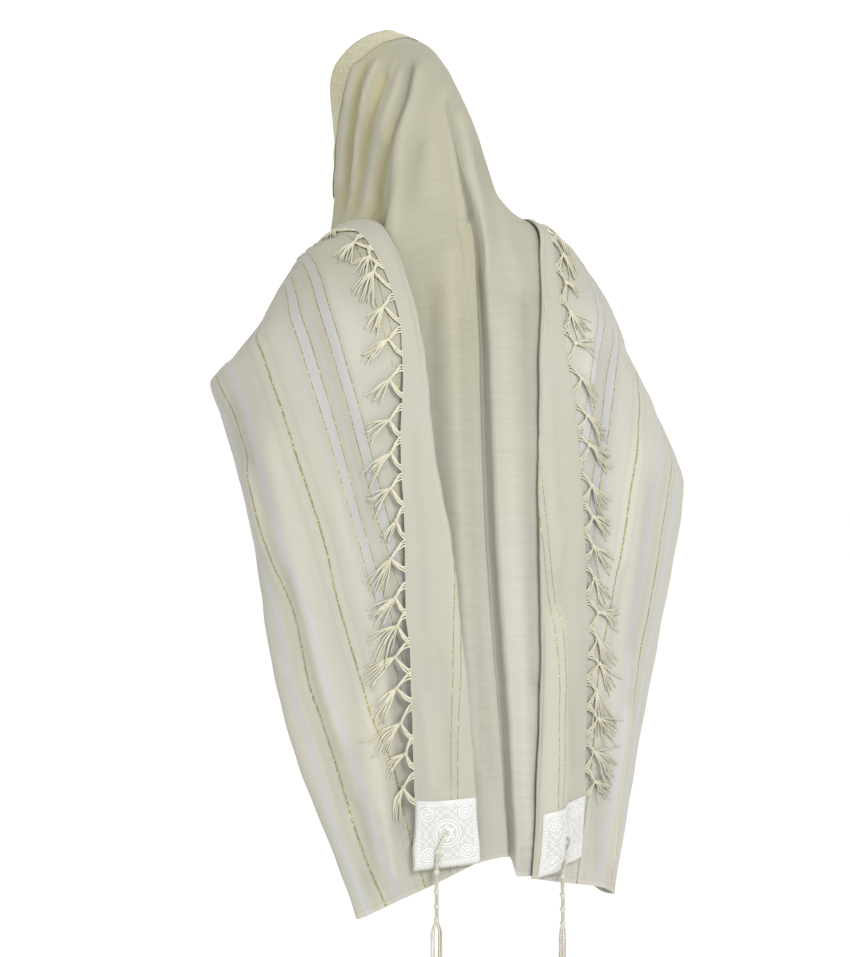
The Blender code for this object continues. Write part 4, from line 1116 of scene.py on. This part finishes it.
class Yarn:
    """Strands and knots gathered into one piece."""

    def __init__(self):
        self.points, self.faces, self.uv = [], [], []
        self.count = 0

    def strand(self, path, radius, sides=6, lobes=0.0, pitch=5.0, phase=0.0):
        """A closed tube along a path; lobes shapes its section as two plies that twist."""
        ahead = unit(np.gradient(path, axis=0))
        lengths = lengths_along(path)
        side = unit(np.cross(ahead[0], (0.31, 0.22, 0.93)))
        around = np.arange(sides) * 2 * math.pi / sides
        radii = np.broadcast_to(radius, len(path))
        for point, along, reach, thick in zip(path, ahead, lengths, radii):
            side = unit(side - along * (side @ along))
            shape = thick * (1 + lobes * np.cos(2 * (around - reach * 2 * math.pi / pitch - phase)))
            self.points.append(point + shape[:, None] * circling(around, side, np.cross(along, side)))
            self.uv.append(np.stack((around / (2 * math.pi), np.full(sides, reach * MM)), -1))
        ring = self.count + np.arange(len(path) * sides).reshape(len(path), sides)
        after = np.roll(ring, -1, axis=1)
        self.faces += np.stack((ring[:-1], after[:-1], after[1:], ring[1:]), -1).reshape(-1, 4).tolist()
        self.faces += [ring[0, ::-1].tolist(), ring[-1].tolist()]
        self.count += ring.size

    def wrap(self, middle, along, radius, turns, height, thickness):
        """A yarn wound round a line."""
        side = unit(np.cross(along, (0.3, 0.9, 0.1)))
        t = np.linspace(0, 1, int(WRAP_STEPS * turns) + 1)
        ring = circling(t * turns * 2 * math.pi, side, np.cross(along, side))
        self.strand(middle + along * ((t - 0.5) * height)[:, None] + radius * ring, thickness)

    def add(self, name, material, replaced, slot):
        piece = add_mesh(name, np.concatenate(self.points), self.faces, material, np.concatenate(self.uv))
        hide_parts(replaced)


def bezier(points, count):
    """A curve with any number of control points."""
    t = np.linspace(0, 1, count)[:, None]
    while len(points) > 1:
        points = [a + (b - a) * t for a, b in zip(points, points[1:])]
    return points[0]


# Heights in the picture of the knots down the back.
KNOT_HEIGHTS = {
    1: (229, 241, 256, 274, 309, 342, 381, 420, 453, 490, 522, 556, 598, 627, 658, 688, 722, 754, 788),
    -1: (231, 251, 283, 313, 346, 380, 417, 449, 487, 518, 546, 580, 614, 642, 666, 694, 720, 755, 783),
}
FRONT_KNOTS = (118, 408, 43)   # the first and last knots down the front, and their pitch
KNOT_OUT = 15.0                # from the edge to a knot
LEG_HALF_SPAN = 17.5           # from a knot's place on the edge to where its legs start
LEG_YARNS = 3
YARN_PITCH = 3.6               # between a leg's yarns at the edge
LEG_POINTS = 13
LEG_RADIUS = 1.1
KNOT_LIFT = (3.4, 9.0)         # the least and most from the wing's middle to a knot
TUFT_HAIRS = 10
TUFT_FAN = 0.72                # how far a tuft turns down from straight out of the edge
TUFT_LENGTH = 33.0
TUFT_DROOP = 8.0
TUFT_LOWEST = (930, 1050)      # where the lowest tufts, which are larger, begin
HAIR_POINTS = 11
HAIR_RADIUS = 1.02             # at the knot
HAIR_TAPER = 0.38
HAIR_LIFT = (1.9, 8.0, 4.5)    # the least and most from the wing's middle, and how much less at the tip
WRAP_STEPS = 9                 # points in each turn of a wound yarn


class Edge:
    """A fringed edge of the cloth: a point at each distance from the top, and its directions."""

    def __init__(self, cloth, side):
        column = cloth.column["fringed edge", side]
        self.v = cloth.v
        self.line = cloth.points[:, column]
        self.out = unit(self.line - cloth.points[:, column - 4 * side])
        self.down = unit(np.gradient(self.line, axis=0))
        self.up = cloth.normals[:, column]
        wing = cloth.points[:, cloth.part(("turn out", side), ("strip in", side))]
        self.tree = tree_of(wing[:, ::-1])

    def at(self, v):
        return (np.array([np.interp(v, self.v, axis) for axis in values.T])
                for values in (self.line, self.out, self.down, self.up))

    def place_of(self, height):
        """The distance from the top edge where the edge shows at this height in the picture."""
        y = seen_at(self.line)[:, 1]
        top = int(np.argmin(y))
        return float(np.interp(height, y[top:], self.v[top:]))


def add_leg(yarn, edge, v, leg, knot, down, up, chosen):
    """The yarns from one root on the edge to a knot: leg is -1 above the knot and 1 below it."""
    span = LEG_HALF_SPAN + chosen.normal(0, 1.2)
    t = np.linspace(0, 1, LEG_POINTS)
    for strand in range(LEG_YARNS):
        aside = strand - 1
        root, root_out, _, root_up = edge.at(v + leg * (span + aside * YARN_PITCH))
        root = root + root_up * (0.3 * aside) - root_out * 1.2
        near = root + root_out * (4.5 + 1.5 * strand) - down * (leg * aside * 1.5) + up * 1.6
        middle = (near + knot) / 2 + up * (1.2 + chosen.normal(0, 0.5)) + down * chosen.normal(0.6, 0.5)
        twist = circling(t * 7.0 + strand * 2 * math.pi / LEG_YARNS, up, down)
        path = bezier((root, near, middle, knot), LEG_POINTS) + np.sin(t * math.pi)[:, None] * 0.75 * twist
        yarn.strand(path, LEG_RADIUS, 6, 0.18, 3.5, strand)


def add_tuft(yarn, edge, v, knot, out, down, up, chosen):
    """The loose ends below a knot, in a fan that droops down the cloth."""
    fan = chosen.normal(TUFT_FAN, 0.24)
    size = (1 + chosen.normal(0, 0.17)) * (1 + 0.25 * rising(v, *TUFT_LOWEST))
    width = 0.45 + 0.45 * chosen.random()
    t = np.linspace(0, 1, HAIR_POINTS)
    for hair in range(TUFT_HAIRS):
        angle = (hair - (TUFT_HAIRS - 1) / 2) / TUFT_HAIRS * width + chosen.normal(0, 0.10) + fan
        way = unit(out * math.cos(angle) + down * math.sin(angle))
        length = (TUFT_LENGTH + chosen.normal(0, 4.0)) * size
        bend = down * (TUFT_DROOP + chosen.normal(0, 3.0)) * size
        path = bezier((knot, knot + way * length * 0.4 + up * 3.0, knot + way * length + bend), HAIR_POINTS)
        wave = np.sin(t * (5 + chosen.random() * 3) + chosen.random() * 6) * t * 1.1
        path = path + wave[:, None] * np.cross(way, up)
        least, most, less = HAIR_LIFT
        path = rest_on(path, edge.tree, np.full(HAIR_POINTS, least), most - less * t + chosen.random() * 2.0)
        yarn.strand(path, HAIR_RADIUS - HAIR_TAPER * t, 5)


def fringe(name, edge, knots, material, chosen):
    """Legs of twisted yarn in pairs, each pair knotted and ending in a splayed tuft."""
    yarn = Yarn()
    for v in knots:
        point, out, down, up = edge.at(v)
        reach = KNOT_OUT + chosen.normal(0, 2.6)
        knot = point + out * reach + down * chosen.normal(1.5, 2.0) + up * 2.0
        knot = rest_on([knot], edge.tree, KNOT_LIFT[:1], KNOT_LIFT[1:])[0]
        sag = unit(out + down * chosen.normal(0.45, 0.25))
        for leg in (-1, 1):
            add_leg(yarn, edge, v, leg, knot, down, up, chosen)
        yarn.wrap(knot, sag, 1.7, 2.3, 3.8, 1.15)
        yarn.wrap(knot + sag * 0.4, unit(np.cross(sag, up)), 1.75, 1.3, 2.4, 1.0)
        add_tuft(yarn, edge, v, knot, out, down, up, chosen)
    yarn.add(name.replace("fringe", "yarns"), material, name, "fringe_yarn")


# ---------------------------------------------------------------- what is sewn on

SATIN_WALL = 0.6
BROCADE_WALL = 0.9
SQUARE_GRID = (64, 64)       # rows and columns of points
SQUARE_SEAM = 2.0            # from the cloth's edges to the square's
SQUARE_INNER_SEAM = 1.5
SQUARE_RIM = 0.12            # share of the half square over which its filling dies away
ATARAH_GRID = (26, 220)
ATARAH_SEAM = 2.5


def corner_rows(end):
    """The rows a corner square lies on."""
    count = int(round(SQUARE_SIDE / (CLOTH_WIDTH / FINE_ROWS)))
    return slice(0, count + 1) if end == "front" else slice(FINE_ROWS - count, FINE_ROWS + 1)


def corner_columns(cloth, rows, side):
    """The columns a corner square lies on: its own width in from the fringed edge."""
    fold, edge = cloth.column["strip fold", side], cloth.column["fringed edge", side]
    strip = cloth.points[rows, edge:fold - side:-side] if side == 1 else cloth.points[rows, edge:fold + 1]
    across = np.cumsum(np.linalg.norm(np.diff(strip, axis=1), axis=-1).mean(axis=0))
    reach = min(int(np.searchsorted(across, SQUARE_SIDE)) + 1, abs(edge - fold))
    return slice(min(edge, edge - side * reach), max(edge, edge - side * reach) + 1)


def pulled_in(grid, axis, end, distance):
    """The grid with one edge moved in along the cloth, and the lines beyond spread evenly."""
    lines = np.moveaxis(grid, axis, 0)
    steps = np.linalg.norm(np.diff(lines, axis=0), axis=-1).mean(axis=1)
    total = np.concatenate(([0.0], np.cumsum(steps)))
    ends = (distance, total[-1]) if end == 0 else (0.0, total[-1] - distance)
    return np.moveaxis(hermite(total, lines, np.linspace(*ends, len(total))), 0, axis)


def laid_grid(cloth, rows, columns, size):
    """Part of the cloth's grid made finer, with its normals: size is its rows and columns."""
    found = []
    for values in (cloth.points[rows, columns], cloth.normals[rows, columns]):
        for axis, count in enumerate(size):
            lines = np.moveaxis(values, axis, 0)
            last = len(lines) - 1
            values = np.moveaxis(hermite(range(last + 1), lines, np.linspace(0, last, count)), 0, axis)
        found.append(values)
    return found[0], unit(found[1])


def sewn_on(name, grid, normals, height, wall, material, uv, replaced):
    """A thin piece at this height over a grid of the cloth."""
    laid = grid + normals * height[..., None]
    piece = shell(name, laid, outward_normals(laid), wall, material, uv)
    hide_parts(replaced)
    return piece


def corner_square(name, cloth, side, end, material, seed):
    rows = corner_rows(end)
    grid, normals = laid_grid(cloth, rows, corner_columns(cloth, rows, side), SQUARE_GRID)
    inner, fringed = (0, -1) if side == 1 else (-1, 0)
    for axis, edge, seam in ((0, 0, SQUARE_SEAM), (0, -1, SQUARE_SEAM), (1, inner, SQUARE_INNER_SEAM),
                             (1, fringed, SQUARE_SEAM)):
        grid = pulled_in(grid, axis, edge, seam)
    down, across = np.meshgrid(*(np.linspace(-1, 1, count) for count in SQUARE_GRID), indexing="ij")
    inside = smooth_step((1 - np.abs(down)) / SQUARE_RIM) * smooth_step((1 - np.abs(across)) / SQUARE_RIM)
    crumple = undulation(down * 45, across * 45, seed, 10, 14, 40) + 1.2
    height = WALL / 2 + 0.5 + (0.35 + np.maximum(crumple, 0) * 0.55) * inside
    uv = np.stack((across, -down), -1)
    satin_name = name.replace("corner", "satin")
    piece = sewn_on(satin_name, grid, normals, height, SATIN_WALL, material, uv, name)


def atarah(cloth, material):
    count = int(round(ATARAH_WIDTH / (CLOTH_WIDTH / FINE_ROWS)))
    reach = [int(np.argmin(np.abs(cloth.left[count // 2] - side * ATARAH_REACH))) for side in (-1, 1)]
    grid, normals = laid_grid(cloth, slice(0, count + 1), slice(reach[0], reach[1] + 1), ATARAH_GRID)
    for axis, edge in ((0, 0), (0, -1), (1, 0), (1, -1)):
        grid = pulled_in(grid, axis, edge, ATARAH_SEAM)
    down = np.linspace(0, 1, ATARAH_GRID[0])[:, None]
    across = np.linspace(-1, 1, ATARAH_GRID[1])[None, :] * ATARAH_REACH
    rolled = sum(0.45 * np.exp(-((down - edge) / 0.05) ** 2) for edge in (0, 1))
    swell = 0.35 * undulation(down * 70 + across * 0, across, 21, 8, 25, 90)
    height = WALL / 2 + 0.75 + rolled + swell * np.sin(down * math.pi)
    uv = np.stack(np.broadcast_arrays(across * MM, down * ATARAH_WIDTH * MM), -1)
    piece = sewn_on("atarah_brocade", grid, normals, height, BROCADE_WALL, material, uv, "atarah")


TZITZIT_KNOTS = (28, 54, 80, 99, 117)    # distances from the eyelet
TZITZIT_LENGTH = 360.0
TZITZIT_STAND_OFF = 5.5              # off the cloth, where the cord leaves it
CORD_LIFT = 3.6                      # and where it lies on the square
TZITZIT_ASIDE = {1: 13.0, -1: 4.0}   # how far the cords behind hang to the left of their eyelets
CORE_YARNS = 4
CORE_TWIST = 0.45                    # how far the core turns in each millimetre
WINDING_PITCH = 2.6
WINDING_RADIUS = 2.3
KNOT_TILT = 0.55                     # of the turns of a knot, across each other
STRANDS = 8
LOOP_PART = 12                       # the strands' loop below the last knot is this part of their length
FALL = np.array((0.0, 0.0, -1.0))


def cord_path(cloth, side, end):
    """The cord's line, and its eyelet: the cloth's point, its normal and the way down the cloth."""
    column = (cloth.column["strip out", side] + cloth.column["fringed edge", side]) // 2
    rows = corner_rows(end)
    line, out = cloth.points[rows, column], cloth.normals[rows, column]
    aside_by = TZITZIT_ASIDE[side]
    if end == "front":
        line, out = line[::-1], out[::-1]
        aside_by = 0.0
    steps = lengths_along(line)
    start, over, edge = hermite(steps, line + out * CORD_LIFT, np.array((0.5, 0.75, 1.0)) * steps[-1])
    edge = edge + unit(out[-1]) * (TZITZIT_STAND_OFF - CORD_LIFT)
    aside = np.cross(unit(line[-1] - line[0]), out[-1]) * aside_by
    over, edge = over + aside * 0.8, edge + aside
    middle = (len(line) - 1) // 2
    path = (start - out[middle] * 2.4, start, over, edge, edge + FALL * 40, edge + FALL * TZITZIT_LENGTH)
    front = unit(out[-1] - FALL * (out[-1] @ FALL))
    return np.array(path), front, line[middle], out[middle], unit(line[middle + 1] - line[middle - 1])


def tzitzit(name, cloth, side, end, material, chosen):
    """A cord through a square's eyelet, wound between five knots, and its eight strands."""
    path, front, eyelet, out, down_cloth = cord_path(cloth, side, end)
    lengths = lengths_along(path)
    sideways = np.cross(FALL, front)
    yarn = Yarn()

    def wound(start, finish, count, turn, twist, radius):
        """Points round the cord between two distances along it."""
        t = np.linspace(start, finish, count)
        return hermite(lengths, path, t) + circling(t * twist + turn, front, sideways) * radius

    # Doubled yarns make the core, from the eyelet to the last knot.
    for strand in range(CORE_YARNS):
        core = wound(0, TZITZIT_KNOTS[-1], 70, strand * math.pi / 2, CORE_TWIST, 1.1)
        yarn.strand(core, 1.0, 6, 0.15, 3.5, strand)
    for before, after in zip(TZITZIT_KNOTS, TZITZIT_KNOTS[1:]):
        count = int((after - before) * 3.2)
        winding = wound(before + 3, after - 3, count, 0, 2 * math.pi / WINDING_PITCH, WINDING_RADIUS)
        yarn.strand(winding, 0.8, 5)
    knots = hermite(lengths, path, TZITZIT_KNOTS)
    for knot in knots:
        for tilt in (-KNOT_TILT, KNOT_TILT):
            yarn.wrap(knot, unit(FALL + tilt * front), 2.5, 2.2, 4.0, 1.35)
            yarn.wrap(knot, unit(FALL + tilt * sideways), 2.5, 1.3, 3.0, 1.2)
    t = np.linspace(0, 1, 40) ** 1.4
    opened = smooth_step(t * LOOP_PART)[:, None]
    arch = np.sin(math.pi * np.minimum(t * LOOP_PART, 1)) * 4.0
    for strand in range(STRANDS):
        angle = strand * math.pi / 4 + 0.3
        away = np.cos(angle) * front + np.sin(angle) * sideways
        length = TZITZIT_LENGTH - TZITZIT_KNOTS[-1] - 10 - 14 * chosen.random()
        loop = (strand % 2 * 2 - 1) * (4.2 + 1.6 * chosen.random()) * sideways
        sway = np.sin(t * (4 + 3 * chosen.random()) + 6 * chosen.random()) * t * (1 - 0.4 * t) * 2.6
        hanging = (knots[-1] + FALL * (t * length - arch)[:, None] + loop * opened * (1 - 0.35 * t[:, None])
                   + away * (1.0 + 1.3 * opened) + np.cross(away, FALL) * sway[:, None])
        yarn.strand(hanging, 1.15 - 0.15 * t, 6, 0.2, 4.5, strand)
    rim = circling(np.linspace(0, 2 * math.pi, 25), down_cloth, np.cross(out, down_cloth))
    yarn.strand(eyelet + out * (WALL / 2 + 1.6) + 3.4 * rim, 0.7, 5)
    yarn.add(name.replace("tzitzit", "tassel"), material, name, "tzitzit_yarn")


# ---------------------------------------------------------------- floor and light

FLOOR_HEIGHT = -1.76
FLOOR_RADIUS = 40.0
FLOOR_SIDES = 96
FLOOR_COLOUR = (0.94, 0.94, 0.94)
WORLD_COLOUR = (1.09, 1.085, 1.07)
# Each light: its place from what the camera aims at, as metres to the camera's right, up and
# towards the camera; then its size, power and colour.
LIGHTS = {
    "key": ((1.5, 1.2, 3.1), 1.3, 104.0, (1.0, 0.99, 0.965)),
    "fill": ((-2.8, 0.7, 2.4), 2.6, 31.0, (0.98, 0.99, 1.0)),
}


def add_floor():
    look = Look("pale_floor", Roughness=0.9, Base_Color=(*FLOOR_COLOUR, 1.0))
    mesh = bpy.data.meshes.new("floor")
    turns = np.arange(FLOOR_SIDES) * 2 * math.pi / FLOOR_SIDES
    rim = [(FLOOR_RADIUS * math.cos(t), FLOOR_RADIUS * math.sin(t), FLOOR_HEIGHT) for t in turns]
    mesh.from_pydata(rim, [], [tuple(range(FLOOR_SIDES))])
    mesh.materials.append(look.material)
    add_to_scene("floor", mesh)


def add_light():
    world = bpy.data.worlds.new("studio")
    bpy.context.scene.world = world
    world.use_nodes = True
    background = world.node_tree.nodes["Background"]
    background.inputs["Color"].default_value = (*WORLD_COLOUR, 1.0)
    background.inputs["Strength"].default_value = 1.0
    aim = in_frame(AIM)
    for name, (place, size, power, colour) in LIGHTS.items():
        data = bpy.data.lights.new(name, "AREA")
        data.shape = "DISK"
        data.size = size
        data.energy = power
        data.color = colour
        light = add_to_scene(name, data)
        light.location = aim + np.array(place) @ np.stack((CAMERA_RIGHT, CAMERA_UP, TO_CAMERA))
        light.rotation_euler = (Vector(aim) - light.location).to_track_quat("-Z", "Y").to_euler()
    view = bpy.context.scene.view_settings
    view.view_transform = "Standard"
    view.look = "None"
    view.exposure = 0.0
    view.gamma = 1.0


# ---------------------------------------------------------------- the pieces

def add_cloth(cloth, material):
    """The back and the two wings, which meet along the turns over the arms."""
    wall = WALL + (HEM_WALL - WALL) * smooth_step((cloth.down - CLOTH_WIDTH + HEM_WIDTH) / HEM_THICKENS)
    uv = np.stack((cloth.cut, cloth.down), -1) * MM
    right, left = (cloth.column["turn", side] for side in (-1, 1))
    last = cloth.points.shape[1] - 1
    for name, ends in (("back", (right, left)), ("wing_left", (left, last)), ("wing_right", (0, right))):
        part = (slice(None), slice(ends[0], ends[1] + 1))
        grid, normals = cloth.points[part], cloth.normals[part]
        # Each piece carries the painted shade as two attributes.
        values = {"tone": cloth.tone[part], "shade": cloth.shade[part]}
        piece = shell(f"tallit_{name}", grid, normals, wall[part], material, uv[part], values)
        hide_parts(f"cloth_{name}")


def main():
    cloth = Cloth()
    add_cloth(cloth, cloth_look())
    atarah(cloth, brocade_look())
    satin = satin_look()
    cotton = yarn_look("fringe_yarn", (0.43, 0.41, 0.305), (0.53, 0.51, 0.395), 0.0035)
    tassel = yarn_look("tzitzit_yarn", (0.41, 0.395, 0.32), (0.50, 0.485, 0.41), 0.0045)
    for side, side_name in ((1, "left"), (-1, "right")):
        edge = Edge(cloth, side)
        knots = {"front": np.arange(*FRONT_KNOTS), "back": [edge.place_of(y) for y in KNOT_HEIGHTS[side]]}
        for k, end in enumerate(("front", "back")):
            corner = f"{side_name}_{end}"
            seed = 2 * k + side
            corner_square(f"corner_{corner}", cloth, side, end, satin, 31 + seed)
            fringe(f"fringe_{corner}", edge, knots[end], cotton, np.random.default_rng(11 + seed))
            tzitzit(f"tzitzit_{corner}", cloth, side, end, tassel, np.random.default_rng(41 + seed))
    add_floor()
    add_light()
    add_camera()


main()
